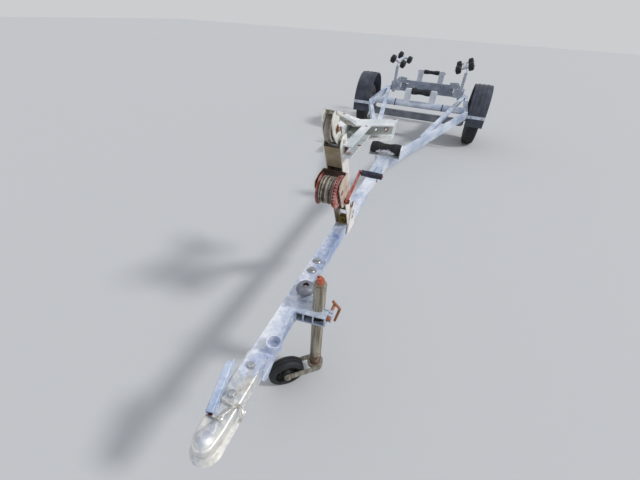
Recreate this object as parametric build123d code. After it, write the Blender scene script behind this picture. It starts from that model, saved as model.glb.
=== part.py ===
from build123d import *
import math
import os

# Boat trailer, single axle, hot-dip galvanised, standing on its jockey wheel.
# Millimetres. +X is the trailer's right as seen from its nose, +Y points to the tail, +Z is up.
# The origin is on the ground under the middle of the trailer's outline.
# A name that ends in _s is a station: the distance behind the coupling's nose.

os.makedirs("parts", exist_ok=True)

# Heights above the ground and general fits
frame_top = 455.0
sheet_gap = 0.3            # between pieces of different bodies that lie side by side
shaft_gap = 0.05           # radial gap of a turning pin or tube in its bore

# Drawbar: one square tube
bar_side = 60.0
bar_wall = 4.0
bar_front_s = 140.0
bar_end_s = 1924.0
bar_dimples = ((-25.0, 233.0), (-1.0, 232.0))
dimple_r = 3.5
dimple_depth = 1.5

# Coupling head for a 50 mm ball
ball_r = 25.0
ball_gap = 0.3
head_half = 35.5
head_nose_r = 32.0
head_shoulder_s = 77.0
head_sheet = 4.0
head_ball_s = 46.0
head_ball_z = 442.0
head_skirt_z = 404.0
head_lip = 10.0
head_lip_end_s = 136.0
head_flare = 16.0
head_dome_r = 31.5
head_nape = 80.0
head_edge = 6.0
head_end_s = 306.0
head_bolt_s = (166.0, 264.0)
head_bolt_r = 6.0
head_boss_r = 19.0
head_boss_rise = 2.0
head_notch_r = 39.0
head_dimples = ((-7.0, 202.0), (13.0, 183.0))

# Coupling handle and its wire catch
handle_start_s = 98.0
handle_x = -19.0
handle_length = 142.0
handle_width = 22.0
handle_height = 26.0
handle_sheet = 3.0
handle_base = 460.0
handle_tilt = 4.0
handle_yaw = 13.3
handle_pin_place = (22.0, 9.0)
catch_wire_r = 2.5

# Upright holder tube and its hook on the drawbar's right side
holder_s = 348.0
holder_x = 35.0
holder_r = 25.0
holder_wall = 4.0
holder_rise = 34.0
hook_sheet = 6.0

# Domed cap on the drawbar
cap_s = 610.0
cap_x = 24.6
cap_r = 38.0
cap_stem_r = 16.0
cap_stem_rise = 20.0
cap_hole_r = 7.0
cap_hole = (1.9, 11.6)

# Two cup-washered bolts through the drawbar
big_bolt_s = (735.0, 800.6)
big_bolt_r = 6.0
cup_r = 17.0

# Jockey wheel and its clamp
jockey_s = 562.0
jockey_x = 104.0
jockey_tube_r = 24.0
jockey_tube_wall = 3.0
jockey_tube_low = 100.0
jockey_tube_high = 580.0
inner_tube_r = 19.0
inner_tube_wall = 3.0
inner_tube_length = 330.0
inner_foot = 6.0
spigot_r = 9.0
fork_bridge = 12.0
fork_strap = 30.0
fork_sheet = 6.0
fork_gap = 4.0
jockey_wheel_r = 78.0
jockey_wheel_width = 50.0
jockey_trail = 133.0
jockey_turn = 221.5
wheel_pin_r = 7.0
clamp_height = 50.0
clamp_wall = 8.0
clamp_sheet = 6.0
clamp_front_s = (508.0, 523.0)
clamp_right_x = 146.0
clamp_plate_front_s = 500.0
clamp_plate_end_s = 812.0
clamp_webs_x = (62.0, 99.0)
clamp_screw_x = 150.0
clamp_screw_z = 436.0
clamp_screw_r = 6.0
clamp_rod = ((143.0, 456.0), (174.0, 426.0), (159.0, 347.0))

# Winch post: a raked channel open at the front
post_front_s = 1132.0      # its front edge at the frame's top
post_rake = 27.0
post_half = 34.5
post_sheet = 4.0
post_depth = 68.0
post_low = 380.0
post_high = 985.0
post_web_low = 515.0
post_tongue_high = 1010.0
post_face_low = 850.0
post_face_high = 953.0

# Winch
winch_s = 880.0
winch_z = 772.0
drum_flange_r = 64.0
drum_core_r = 22.0
drum_x = (-33.0, 37.0)
drum_sheet = 3.0
rope_r = 56.0
winch_shaft_r = 8.0
winch_plate = 4.0
winch_plate_x = (-49.0, 53.0)
winch_back_z = (690.0, 833.0)

# Winch gearing: spur teeth on the drum's disc and on the crank's pinion
tooth_module = 4.0
gear_teeth = 32
pinion_teeth = 10
tooth_top = 3.4
tooth_root = 4.5
tooth_play = 0.35
gear_x = 40.0
gear_width = 8.0
gear_recess = 3.0
gear_hub_r = 20.0
gear_rim_r = 50.0
pinion_distance = 84.4
pinion_angle = -50.0
crank_shaft_r = 7.0

# Crank: flat arm with a groove, and its grip on a pin
crank_x = 62.0
crank_sheet = 7.5
crank_width = 18.0
crank_length = 181.0
crank_lean = 20.3
crank_groove = (6.0, 2.5)
crank_boss_r = 13.0
crank_pin_r = 5.0
grip_r = 14.5
grip_x = (74.0, 168.0)

# Post head with its pulley
pulley_s = 866.0
pulley_z = 1017.0
pulley_r = 45.0
pulley_width = 24.0
pulley_pin_r = 8.0
head_cheek = 4.0
head_cheek_gap = 4.0
hood_half = 24.0
hood_sheet = 3.0
hood_front = (840.0, 1084.0)
hood_tail = (1095.0, 988.0)
hood_lip = 9.0
hood_end_s = 1107.0
hood_end_z = 966.0
head_bolt_place = (911.0, 968.0)
head_bolt_pin_r = 6.0

# Bow stop: a bent channel with its apex on the middle line, and two legs on the post
yoke_top = 955.0
yoke_height = 68.0
yoke_sheet = 5.0
yoke_back_s = 1256.0
yoke_depth = 91.0
yoke_web_depth = 57.0
yoke_sweep = 31.5
yoke_reach = 157.0
yoke_holes_x = (78.0, 119.0)
yoke_hole_z = 918.0
yoke_hole_r = 7.0
leg_front_s = 897.0
leg_end_s = 1200.0
leg_low = 908.0
leg_out_x = 70.0
leg_bolt = (928.0, 936.0)
leg_bolt_r = 6.0
leg_slot = (1168.0, 915.0)

# Frame: V arms, side rails, struts
arm_width = 40.0
arm_height = 80.0
arm_wall = 4.0
arm_front_s = 1932.0
arm_bend_s = 2128.0
rail_start_s = 4088.0
rail_x = 596.0
rail_end_s = 5262.0
strut_width = 50.0
strut_height = 30.0
strut_wall = 3.0
strut_start_s = 2838.0
strut_end_s = 5180.0
sleeve_side = 70.0
sleeve_front_s = 1832.0
sleeve_plate = 8.0

# Cross tube and axle
cross_tube_s = 4338.0
cross_tube_z = 412.0
cross_tube_r = 40.0
cross_tube_wall = 4.0
cross_ring_x = 308.0
axle_s = 4358.0
axle_z = 268.0
axle_side = 80.0
axle_wall = 5.0
axle_corner = 10.0
axle_overhang = 2.0        # past the side rails' middle
axle_saddle = 90.0
wheel_s = 4458.0
wheel_x = 735.0
wheel_r = 285.0
tyre_width = 148.0
rim_r = 165.0
spindle_r = 15.0
torsion_length = 60.0      # of the round stub that the arm turns on
torsion_r = 24.0

# Mudguards
guard_inner_x = 624.0
guard_width = 206.0
guard_sheet = 5.0
guard_r = 345.0
guard_centre_z = 373.0
guard_low = 288.0
guard_lip = 14.0
guard_rib = 4.0
strap_width = 34.0
strap_sheet = 5.0
strap_z = 403.0

# Rear: cross beam, roller beam, posts, tail spine
rear_beam_s = 5222.0
rear_beam_depth = 60.0
rear_beam_height = 45.0
roller_beam_half = 390.0
roller_beam_height = 108.0
roller_beam_depth = 42.0
roller_beam_sheet = 5.0
beam_slots = ((-300.0, 520.0, 40.0), (-110.0, 528.0, 40.0), (-22.0, 519.0, 14.0), (94.0, 523.0, 14.0),
              (188.0, 529.0, 55.0))     # x, z, length
beam_slot_height = 13.0
post_x = 493.0
post_side = 40.0
post_wall = 3.0
post_low_z = 385.0
post_high_z = 743.0
post_plate = 8.0
post_plate_outline = ((318.0, 520.0), (318.0, 598.0), (436.0, 605.0), (470.0, 560.0), (545.0, 530.0),
                      (545.0, 405.0), (400.0, 405.0), (400.0, 520.0))
post_plate_holes = ((424.0, 588.0), (444.0, 523.0), (521.0, 515.0))
post_plate_bolts = ((340.0, 540.0), (378.0, 540.0))
tail_end_s = 5573.0
tail_spine_side = 60.0
tail_bar_height = 40.0

# Keel rollers
keel_front_s = 2205.0
keel_front_half = 116.0
keel_front_r = 44.0
keel_front_z = 510.0
keel_half = 118.0
keel_post_width = 80.0
keel_post_depth = 36.0
keel_post_sheet = 5.0
keel_post_over = 28.0
keel_post_corner = 14.0
keel_mid_z = 568.0
keel_mid_r = 40.0
keel_rear_s = 5530.0
keel_rear_z = 660.0
keel_rear_r = 30.0
keel_pin_r = 8.0

# Swinging roller carriages on the rear posts, tilted down towards the keel
swing_x = 449.0
swing_z = 832.0
swing_lean = 20.0
swing_arm = 310.0
swing_r = 51.0
swing_width = 70.0
swing_spread = 78.5        # from the arm's middle to a roller's middle
swing_bar = 30.0
swing_pin_r = 9.0
swing_axle_r = 8.0
swing_ear = 8.0

nose_y = -tail_end_s / 2


def y_at(station):
    return nose_y + station


def block(x0, x1, y0, y1, z0, z1):
    size = Box(x1 - x0, y1 - y0, z1 - z0)
    return Pos((x0 + x1) / 2, (y0 + y1) / 2, (z0 + z1) / 2) * size


def rod_x(x0, x1, y, z, radius):
    return Pos((x0 + x1) / 2, y, z) * Rot(0, 90, 0) * Cylinder(radius, x1 - x0)


def rod_y(y0, y1, x, z, radius):
    return Pos(x, (y0 + y1) / 2, z) * Rot(90, 0, 0) * Cylinder(radius, y1 - y0)


def rod_z(z0, z1, x, y, radius):
    return Pos(x, y, (z0 + z1) / 2) * Cylinder(radius, z1 - z0)


def mirror_x(shape):
    return mirror(shape, about=Plane.YZ)


def hex_rod_z(z0, z1, x, y, flats):
    outline = RegularPolygon(flats / math.sqrt(3), 6)
    return Pos(x, y, z0) * extrude(outline, z1 - z0)


def side_profile(points, x0, x1, corner=0.0):
    """A plate in the YZ plane from x0 to x1, its outline given as (y, z) points, corners rounded."""
    face = make_face(Polyline(*[(0, y, z) for y, z in points], close=True))
    if corner:
        face = fillet(face.vertices(), corner)
    return Pos(x0, 0, 0) * extrude(face, amount=x1 - x0, dir=(1, 0, 0))


def station_profile(points, x0, x1, corner=0.0):
    """A plate as above, its outline given as (station, z) points."""
    return side_profile([(y_at(s), z) for s, z in points], x0, x1, corner)


def plan_strip(points, width, z0, z1):
    """A bar of constant width along a plan polyline, mitred at its corners."""
    half = width / 2
    left, right = [], []
    for index, point in enumerate(points):
        before = points[max(index - 1, 0)]
        after = points[min(index + 1, len(points) - 1)]
        into = Vector(point[0] - before[0], point[1] - before[1])
        out = Vector(after[0] - point[0], after[1] - point[1])
        into = into.normalized() if into.length else out.normalized()
        out = out.normalized() if out.length else into
        normal_in = Vector(-into.Y, into.X)
        normal_out = Vector(-out.Y, out.X)
        mitre = (normal_in + normal_out).normalized()
        reach = half / mitre.dot(normal_in)
        left.append((point[0] + mitre.X * reach, point[1] + mitre.Y * reach))
        right.append((point[0] - mitre.X * reach, point[1] - mitre.Y * reach))
    face = make_face(Polyline(*left, *reversed(right), close=True))
    return Pos(0, 0, z0) * extrude(face, z1 - z0)


def plan_tube(points, width, height, wall, top):
    """A rectangular tube along a plan polyline, open at both ends."""
    outer = plan_strip(points, width, top - height, top)
    first, second = Vector(*points[0]), Vector(*points[1])
    last, previous = Vector(*points[-1]), Vector(*points[-2])
    start = first - (second - first).normalized() * wall
    end = last + (last - previous).normalized() * wall
    inner_points = [(start.X, start.Y), *points[1:-1], (end.X, end.Y)]
    inner = plan_strip(inner_points, width - 2 * wall, top - height + wall, top - wall)
    return outer - inner


def save(shape, name):
    solids = shape.solids()
    export_step(solids[0] if len(solids) == 1 else Compound(children=list(solids)), f"parts/{name}.step")


axle_half = rail_x + axle_overhang
bar_low = frame_top - bar_side
bar_mid = frame_top - bar_side / 2


# Drawbar


def drawbar():
    y0, y1 = y_at(bar_front_s), y_at(bar_end_s)
    half = bar_side / 2
    inner = half - bar_wall
    bar = block(-half, half, y0, y1, bar_low, frame_top)
    bar -= block(-inner, inner, y0 - 1, y1 + 1, bar_low + bar_wall, frame_top - bar_wall)
    for station, radius in [(s, head_bolt_r) for s in head_bolt_s] + [(s, big_bolt_r) for s in big_bolt_s]:
        bar -= rod_z(bar_low - 1, frame_top + 1, 0, y_at(station), radius)
    for x, station in bar_dimples:
        bar -= rod_z(frame_top - dimple_depth, frame_top + 1, x, y_at(station), dimple_r)
    return bar


# Coupling head: pressed body, dome over the ball, flared lip


def head_outline(nose_r, half, end_s):
    """Plan of the head: a half circle round the ball, shoulders and a straight neck."""
    y_ball, y_shoulder, y_end = y_at(head_ball_s), y_at(head_shoulder_s), y_at(end_s)
    nose = ThreePointArc((-nose_r, y_ball), (0, y_ball - nose_r), (nose_r, y_ball))
    rest = Polyline((nose_r, y_ball), (half, y_shoulder), (half, y_end), (-half, y_end), (-half, y_shoulder),
                    (-nose_r, y_ball))
    return make_face([nose, rest])


def coupling_head():
    top = frame_top + head_sheet
    y_ball = y_at(head_ball_s)
    outline = head_outline(head_nose_r, head_half, head_end_s)
    body = Pos(0, 0, head_skirt_z) * extrude(outline, top - head_skirt_z)
    body = fillet(body.edges().group_by(Axis.Z)[-1], head_edge)
    flare_low = Pos(0, 0, head_skirt_z) * head_outline(head_ball_s, head_half + head_lip, head_lip_end_s)
    flare_top = Pos(0, 0, head_skirt_z + head_flare) * head_outline(head_nose_r, head_half, head_lip_end_s)
    body += loft([flare_low, flare_top], ruled=True)
    nape_end = head_dome_r * 0.25
    dome = Pos(0, y_ball, head_ball_z) * Sphere(head_dome_r)
    dome += Pos(0, y_ball, head_ball_z) * Rot(-90, 0, 0) * Cone(
        head_dome_r, nape_end, head_nape, align=(Align.CENTER, Align.CENTER, Align.MIN))
    body += dome & block(-head_half, head_half, y_at(0), y_at(200), head_skirt_z, head_ball_z + head_dome_r)
    body += rod_z(top, top + head_boss_rise, 0, y_at(head_bolt_s[0]), head_boss_r)
    socket = ball_r + ball_gap
    body -= Pos(0, y_ball, head_ball_z) * Sphere(socket)
    body -= rod_z(head_skirt_z - 1, head_ball_z, 0, y_ball, socket)
    inner = bar_side / 2 + sheet_gap
    channel_s = bar_front_s - head_sheet
    body -= block(-inner, inner, y_at(channel_s), y_at(head_end_s + 1), head_skirt_z - 1, frame_top)
    hollow = head_half - head_sheet
    body -= block(-hollow, hollow, y_at(head_ball_s + 40), y_at(channel_s), head_skirt_z - 1, frame_top - 6)
    y_rear_bolt = y_at(head_bolt_s[1])
    body -= rod_z(frame_top, top + 1, 0, y_rear_bolt, head_notch_r)
    body -= block(-head_half, head_half, y_rear_bolt, y_at(head_end_s + 1), frame_top, top + 1)
    body -= rod_z(frame_top - 1, top + head_boss_rise + 1, 0, y_at(head_bolt_s[0]), head_bolt_r)
    for x, station in head_dimples:
        body -= rod_z(top - dimple_depth, top + 1, x, y_at(station), dimple_r)
    return body


def through_bolt(station, radius, top, low):
    y = y_at(station)
    bolt = rod_z(low - 14, top + 2, 0, y, radius)
    bolt += hex_rod_z(top + 2, top + 10, 0, y, radius * 3.2)
    bolt += rod_z(top, top + 2, 0, y, radius * 2.1)
    bolt += hex_rod_z(low - 11, low, 0, y, radius * 3.2)
    return bolt


def coupling_handle():
    """Pressed lever, open below, on a pin between two ears of the head."""
    half, length = handle_width / 2, handle_length
    channel = block(-half, half, 0, length, 0, handle_height)
    channel = fillet(channel.edges().filter_by(Axis.Z).group_by(Axis.Y)[-1], half * 0.6)
    channel = fillet(channel.edges().group_by(Axis.Z)[-1], handle_sheet)
    channel -= block(-half + handle_sheet, half - handle_sheet, -1, length - handle_sheet, -1,
                     handle_height - handle_sheet)
    lug = Pos(half - handle_sheet, length, handle_height / 2) * Rot(0, 90, 0) * Cylinder(
        handle_height * 0.45, handle_sheet, align=(Align.CENTER, Align.CENTER, Align.MIN))
    pin_y, pin_z = handle_pin_place
    lever = Rot(handle_tilt, 0, 0) * (channel + lug + rod_x(-half - 3, half + 3, pin_y, pin_z, 3.5))
    ear_x = half - handle_sheet - sheet_gap
    for side in (-1, 1):
        ear = block(ear_x - 3, ear_x, pin_y - 8, pin_y + 8, frame_top + head_sheet - handle_base, pin_z + 7)
        lever += ear if side > 0 else mirror_x(ear)
    return Pos(handle_x, y_at(handle_start_s), handle_base) * Rot(0, 0, handle_yaw) * lever


def coupling_catch():
    """Bent wire spring from the handle over the head's right shoulder to its cheek."""
    r = catch_wire_r
    end_x = head_half + r + sheet_gap
    main = [(-7.0, 97.0, 472.0), (18.0, 97.0, 469.0), (14.0, 116.0, 468.0), (25.0, 136.0, 466.0),
            (37.0, 152.0, 463.0), (62.0, 139.0, 457.0), (52.0, 125.0, 440.0), (end_x, 120.0, 434.0)]
    path = FilletPolyline(*[(x, y_at(s), z) for x, s, z in main], radius=4)
    wire = sweep(Plane(origin=path @ 0, z_dir=path % 0) * Circle(r), path=path)
    branch = Line((-16.9, y_at(143.0), 474.0), (25.0, y_at(136.0), 466.0))
    return wire + sweep(Plane(origin=branch @ 0, z_dir=branch % 0) * Circle(r), path=branch)


# Holder tube with its hook


def holder_tube():
    y = y_at(holder_s)
    half = bar_side / 2
    tube = rod_z(frame_top, frame_top + holder_rise, holder_x, y, holder_r)
    tube -= rod_z(frame_top - 1, frame_top + holder_rise + 1, holder_x, y, holder_r - holder_wall)
    outline = [(372, frame_top), (372, 428), (335, 412), (284, 379), (269, 381), (255, 411), (272, 443),
               (300, frame_top)]
    hook = station_profile(outline, half + hook_sheet, half + 2 * hook_sheet)
    pad = block(half, half + hook_sheet, y_at(head_end_s + 2), y_at(370), 428, frame_top)
    return tube + hook + pad


def domed_cap():
    x, y = cap_x, y_at(cap_s)
    stem_top = frame_top + cap_stem_rise
    stem = rod_z(frame_top, stem_top + 4, x, y, cap_stem_r)
    dome = Pos(x, y, stem_top) * Sphere(cap_r)
    dome &= block(x - 50, x + 50, y - 50, y + 50, stem_top, stem_top + 60)
    dome -= Pos(x, y, stem_top - 4) * Sphere(cap_r)
    cap = dome + stem + rod_z(stem_top, stem_top + cap_r - 2, x, y, cap_stem_r * 0.6)
    return cap - Pos(x + cap_hole[0], y + cap_hole[1], stem_top) * Cylinder(cap_hole_r, 80)


def drawbar_bolts():
    top = frame_top + head_sheet
    shapes = [through_bolt(head_bolt_s[0], head_bolt_r, top + head_boss_rise, bar_low),
              through_bolt(head_bolt_s[1], head_bolt_r, frame_top, bar_low)]
    for station in big_bolt_s:
        y = y_at(station)
        cup = Pos(0, y, frame_top) * Cone(cup_r, cup_r - 3, 5, align=(Align.CENTER, Align.CENTER, Align.MIN))
        head = hex_rod_z(frame_top + 5, frame_top + 12, 0, y, big_bolt_r * 3.2)
        stem = rod_z(bar_low - 14, frame_top + 5, 0, y, big_bolt_r)
        nut = hex_rod_z(bar_low - 11, bar_low, 0, y, big_bolt_r * 3.2)
        shapes.append(cup + head + stem + nut)
    return Compound(children=shapes)


# Jockey wheel clamp: side plate, two ribs and a split ring round the tube


def jockey_clamp():
    """Two plates and webs between the drawbar and a split ring round the tube, on a long side plate."""
    y, x = y_at(jockey_s), jockey_x
    half = bar_side / 2
    low, high = frame_top - clamp_height, frame_top
    sheet = clamp_sheet
    ring_r = jockey_tube_r + clamp_wall
    right = clamp_right_x
    front_left, front_right = (y_at(s) for s in clamp_front_s)
    plan = make_face(Polyline((half, front_left), (right, front_right), (right, y - 6), (x + ring_r, y + 12),
                              (x, y + ring_r), (half, y + ring_r + 20), close=True))
    clamp = block(half, half + sheet, y_at(clamp_plate_front_s), y_at(clamp_plate_end_s), low, high)
    clamp += rod_z(low, high, x, y, ring_r)
    for z in (low, high - sheet):
        clamp += Pos(0, 0, z) * extrude(plan, sheet)
    clamp += block(right - sheet, right, front_right + 1, y - 26, low, high)
    for web_x in clamp_webs_x:
        web_front = front_left + (front_right - front_left) * (web_x - half) / (right - half)
        clamp += block(web_x - sheet / 2, web_x + sheet / 2, web_front + 1, y, low, high)
    ear_high = clamp_screw_z + 11
    for ear_y in (y - 14, y + 1.5):
        clamp += block(x + ring_r - 6, clamp_screw_x + 10, ear_y, ear_y + 12.5, low + 4, ear_high)
    clamp -= rod_z(low - 1, high + 1, x, y, jockey_tube_r + shaft_gap)
    clamp -= block(x, x + ring_r + 60, y - 1.5, y + 1.5, low - 1, high + 1)
    return clamp - rod_y(y - 40, y + 40, clamp_screw_x, clamp_screw_z, clamp_screw_r)


def clamp_handle():
    """Clamp screw with its nut, turned by a bent rod that hangs behind it."""
    y = y_at(jockey_s)
    x, z = clamp_screw_x, clamp_screw_z
    rod_at = y + 50
    screw = rod_y(y - 28, rod_at, x, z, clamp_screw_r)
    nut = Pos(x, y - 14, z) * Rot(90, 0, 0) * extrude(RegularPolygon(11, 6), 10)
    path = FilletPolyline(*[(px, rod_at, pz) for px, pz in clamp_rod], radius=9)
    return screw + nut + sweep(Plane(origin=path @ 0, z_dir=path % 0) * Circle(5.5), path=path)


def jockey_tube():
    y, x = y_at(jockey_s), jockey_x
    tube = rod_z(jockey_tube_low, jockey_tube_high, x, y, jockey_tube_r)
    tube -= rod_z(jockey_tube_low - 1, jockey_tube_high - 5, x, y, jockey_tube_r - jockey_tube_wall)
    tube += rod_z(jockey_tube_high, jockey_tube_high + 6, x, y, jockey_tube_r - 4)
    return tube


def jockey_crown():
    y, x = y_at(jockey_s), jockey_x
    base = jockey_tube_high + 6
    crown = rod_z(base, base + 16, x, y, 14)
    crown += rod_z(base + 8, base + 24, x - 4, y, 11)
    crown -= block(x - 20, x - 4, y - 4, y + 4, base + 6, base + 40)
    return crown


def place_caster(shape):
    return Pos(jockey_x, y_at(jockey_s), 0) * Rot(0, 0, jockey_turn) * shape


def jockey_inner():
    """Inner tube with its foot flange, and the spigot that the fork turns on."""
    y, x = y_at(jockey_s), jockey_x
    foot = jockey_tube_low - sheet_gap
    flange_low = foot - inner_foot
    head_top = flange_low - fork_bridge - 2 * sheet_gap
    tube = rod_z(flange_low, foot, x, y, jockey_tube_r)
    tube += rod_z(foot, foot + inner_tube_length, x, y, inner_tube_r)
    tube -= rod_z(foot + 4, foot + inner_tube_length + 1, x, y, inner_tube_r - inner_tube_wall)
    tube += rod_z(head_top - 6, flange_low, x, y, spigot_r)
    tube += rod_z(head_top - 6, head_top, x, y, spigot_r + 5)
    return tube


def jockey_fork():
    """Flat bar bent round the tube's foot, its two ends on the wheel's bolt."""
    inner = jockey_wheel_width / 2 + fork_gap
    outer = inner + fork_sheet
    top = jockey_tube_low - inner_foot - 2 * sheet_gap
    low = top - fork_bridge
    end = jockey_trail + 16
    plan = Circle(outer) + Pos(end / 2, 0) * Rectangle(end, 2 * outer)
    plan -= Circle(inner) + Pos(end / 2 + 1, 0) * Rectangle(end + 2, 2 * inner)
    strap = Pos(0, 0, top - fork_strap) * extrude(plan, fork_strap)
    strap = fillet(strap.edges().filter_by(Axis.Y).group_by(Axis.X)[-1], 12)
    bridge = rod_z(low, top, 0, 0, outer) - rod_z(low - 1, top + 1, 0, 0, spigot_r + shaft_gap)
    fork = strap + bridge
    fork += rod_y(-outer - 9, outer + 9, jockey_trail, jockey_wheel_r, wheel_pin_r)
    for y0 in (-outer - 7, outer):
        nut = extrude(RegularPolygon(wheel_pin_r * 1.7, 6), 7)
        fork += Pos(jockey_trail, y0 + 7, jockey_wheel_r) * Rot(90, 0, 0) * nut
    return place_caster(fork)


def wheel_section(points):
    """Revolve an (x, r) outline about the X axis."""
    face = make_face(Polyline(*[(x, r) for x, r in points], close=True))
    return revolve(face, Axis.X, 360)


def jockey_wheel():
    half = jockey_wheel_width / 2
    r = jockey_wheel_r
    section = [(-half, wheel_pin_r + shaft_gap), (-half, 26), (-half + 8, 30), (-half + 8, 44),
               (-half, 48), (-half, r - 12), (-half + 8, r), (half - 8, r), (half, r - 12),
               (half, 48), (half - 8, 44), (half - 8, 30), (half, 26),
               (half, wheel_pin_r + shaft_gap)]
    wheel = Rot(0, 0, 90) * wheel_section(section)
    return place_caster(Pos(jockey_trail, 0, r) * wheel)


# Winch post


def post_s(z):
    """Station of the post's front edge at height z."""
    return post_front_s - (z - frame_top) * math.tan(math.radians(post_rake))


post_span = post_depth / math.cos(math.radians(post_rake))
post_skin = post_sheet / math.cos(math.radians(post_rake))


def raked(low, high, front, back, x0, x1):
    """A plate parallel to the post's front edge, from front to back behind it, along Y."""
    outline = [(post_s(low) + front, low), (post_s(low) + back, low), (post_s(high) + back, high),
               (post_s(high) + front, high)]
    return station_profile(outline, x0, x1)


def winch_post():
    """Two side plates with rounded ears, a back web that ends in a tongue, and a face plate."""
    foot_z = post_web_low
    outline = [(post_s(post_low), post_low), (post_s(post_low) + post_span * 1.5, post_low),
               (post_s(foot_z) + post_span, foot_z), (post_s(post_high) + post_span, post_high),
               (post_s(post_high) + post_span * 0.42, post_high), (post_s(post_face_high), post_face_high)]
    right = station_profile(outline, post_half - post_sheet, post_half, 8)
    post = right + mirror_x(right)
    inner = post_half - post_sheet
    tongue = pulley_width / 2 + head_cheek_gap
    post += raked(foot_z, post_high - 12, post_span - post_skin, post_span, -post_half, post_half)
    post += raked(post_high - 12, post_tongue_high, post_span - post_skin, post_span, -tongue, tongue)
    post += raked(post_face_low, post_face_high - 9, 0, post_skin, -inner, inner)
    foot_s = post_s(frame_top)
    post += block(-inner, inner, y_at(foot_s), y_at(foot_s + post_span), frame_top, frame_top + 4)
    for (station, z), radius in ((leg_bolt, leg_bolt_r), (head_bolt_place, head_bolt_pin_r)):
        post -= rod_x(-post_half - 1, post_half + 1, y_at(station), z, radius)
    return post + post_gusset()


def post_gusset():
    y = y_at(post_s(frame_top + 20)) + 30
    wing = side_profile([(y - 30, frame_top - 60), (y + 60, frame_top - 60), (y + 36, frame_top + 110),
                         (y + 20, frame_top + 124), (y - 6, frame_top + 96)], post_half, post_half + 6)
    for dy, dz in ((6, 20), (22, 40), (10, 52), (26, 66)):
        wing -= rod_x(post_half - 1, post_half + 7, y + dy, frame_top + dz, 3.5)
    return wing


def post_block():
    y = y_at(post_s(frame_top + 40)) + 34
    body = block(-16, 16, y - 14, y + 20, frame_top + 4, frame_top + 44)
    return body - rod_y(y - 20, y + 30, 4, frame_top + 26, 6)


# Winch: frame, drum, wound rope, gear and pinion


def winch_frame():
    """Back plate on the post's front edges and a leaf-shaped plate at each end of the shafts."""
    low, high = winch_back_z
    thick = winch_plate / math.cos(math.radians(post_rake))
    left, right = winch_plate_x
    frame = raked(low, high, -thick, 0, left, right + winch_plate)
    leaf = [(post_s(high), high), (928, 833), (878, 828), (848, 814), (845, 793), (866, 757), (889, 718),
            (906, 690), (922, 682), (952, 686), (post_s(low + 8), low + 8)]
    for x0 in (left, right):
        plate = station_profile(leaf, x0, x0 + winch_plate, 3)
        plate -= rod_x(x0 - 1, x0 + winch_plate + 1, y_at(winch_s), winch_z, winch_shaft_r + shaft_gap)
        plate -= rod_x(x0 - 1, x0 + winch_plate + 1, *pinion_centre(), crank_shaft_r + shaft_gap)
        frame += plate
    return frame


def pinion_centre():
    angle = math.radians(pinion_angle)
    return y_at(winch_s) + pinion_distance * math.cos(angle), winch_z + pinion_distance * math.sin(angle)


def toothed(teeth, middle):
    """Face in the YZ plane with straight-sided teeth, one of them pointing at the angle middle (degrees)."""
    pitch_r = tooth_module * teeth / 2
    half_pitch = math.pi * tooth_module / 4 - tooth_play / 2
    root, tip = pitch_r - tooth_root, pitch_r + tooth_top
    steps = ((root, half_pitch * 1.5), (pitch_r, half_pitch), (tip, half_pitch * 0.42))
    points = []
    for index in range(teeth):
        centre = math.radians(middle) + 2 * math.pi * index / teeth
        flank = [(radius, -half / radius) for radius, half in steps]
        flank += [(radius, half / radius) for radius, half in reversed(steps)]
        points += [(0, r * math.cos(centre + turn), r * math.sin(centre + turn)) for r, turn in flank]
    return make_face(Polyline(*points, close=True))


def toothed_disc(teeth, middle, x0, width, y, z):
    return Pos(x0, y, z) * extrude(toothed(teeth, middle), amount=width, dir=(1, 0, 0))


def winch_pinion():
    """Crank shaft with its ten teeth, set into a gap of the drum's gear."""
    y, z = pinion_centre()
    shaft = rod_x(winch_plate_x[0] - 6, crank_x + crank_sheet + 3, y, z, crank_shaft_r)
    shaft += rod_x(winch_plate_x[0] - 9, winch_plate_x[0] - 5, y, z, crank_shaft_r + 4)
    shaft += toothed_disc(pinion_teeth, pinion_angle + 180, gear_x, gear_width, y, z)
    nut = extrude(RegularPolygon(crank_shaft_r * 1.6, 6), 7)
    nut = Pos(crank_x + crank_sheet, y, z) * Rot(0, 90, 0) * nut
    return shaft + nut


def winch_crank():
    """Flat arm, grooved on its outer face, with the pin that carries the grip."""
    y, z = pinion_centre()
    x0, x1 = crank_x, crank_x + crank_sheet
    arm = block(x0, x1, 0, crank_length, -crank_width / 2, crank_width / 2)
    arm += rod_x(x0, x1, 0, 0, crank_boss_r) + rod_x(x0, x1, crank_length, 0, crank_width / 2 + 2)
    groove_width, groove_depth = crank_groove
    groove_half = groove_width / 2
    arm -= block(x1 - groove_depth, x1 + 1, crank_boss_r + 6, crank_length - 18, -groove_half, groove_half)
    arm += rod_x(x1, grip_x[1] + 4, crank_length, 0, crank_pin_r)
    arm -= rod_x(x0 - 1, x1 + 1, 0, 0, crank_shaft_r)
    return Pos(0, y, z) * Rot(crank_lean, 0, 0) * arm


def crank_grip():
    """Turned grip, swollen in its middle, with a bead at each end."""
    y, z = pinion_centre()
    x0, x1 = grip_x
    r = grip_r
    section = [(x0, crank_pin_r), (x0, r * 0.9), (x0 + 4, r), (x0 + 8, r * 0.86), ((x0 + x1) / 2, r),
               (x1 - 8, r * 0.86), (x1 - 4, r), (x1, r * 0.9), (x1, crank_pin_r)]
    return Pos(0, y, z) * Rot(crank_lean, 0, 0) * Pos(0, crank_length, 0) * wheel_section(section)


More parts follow.
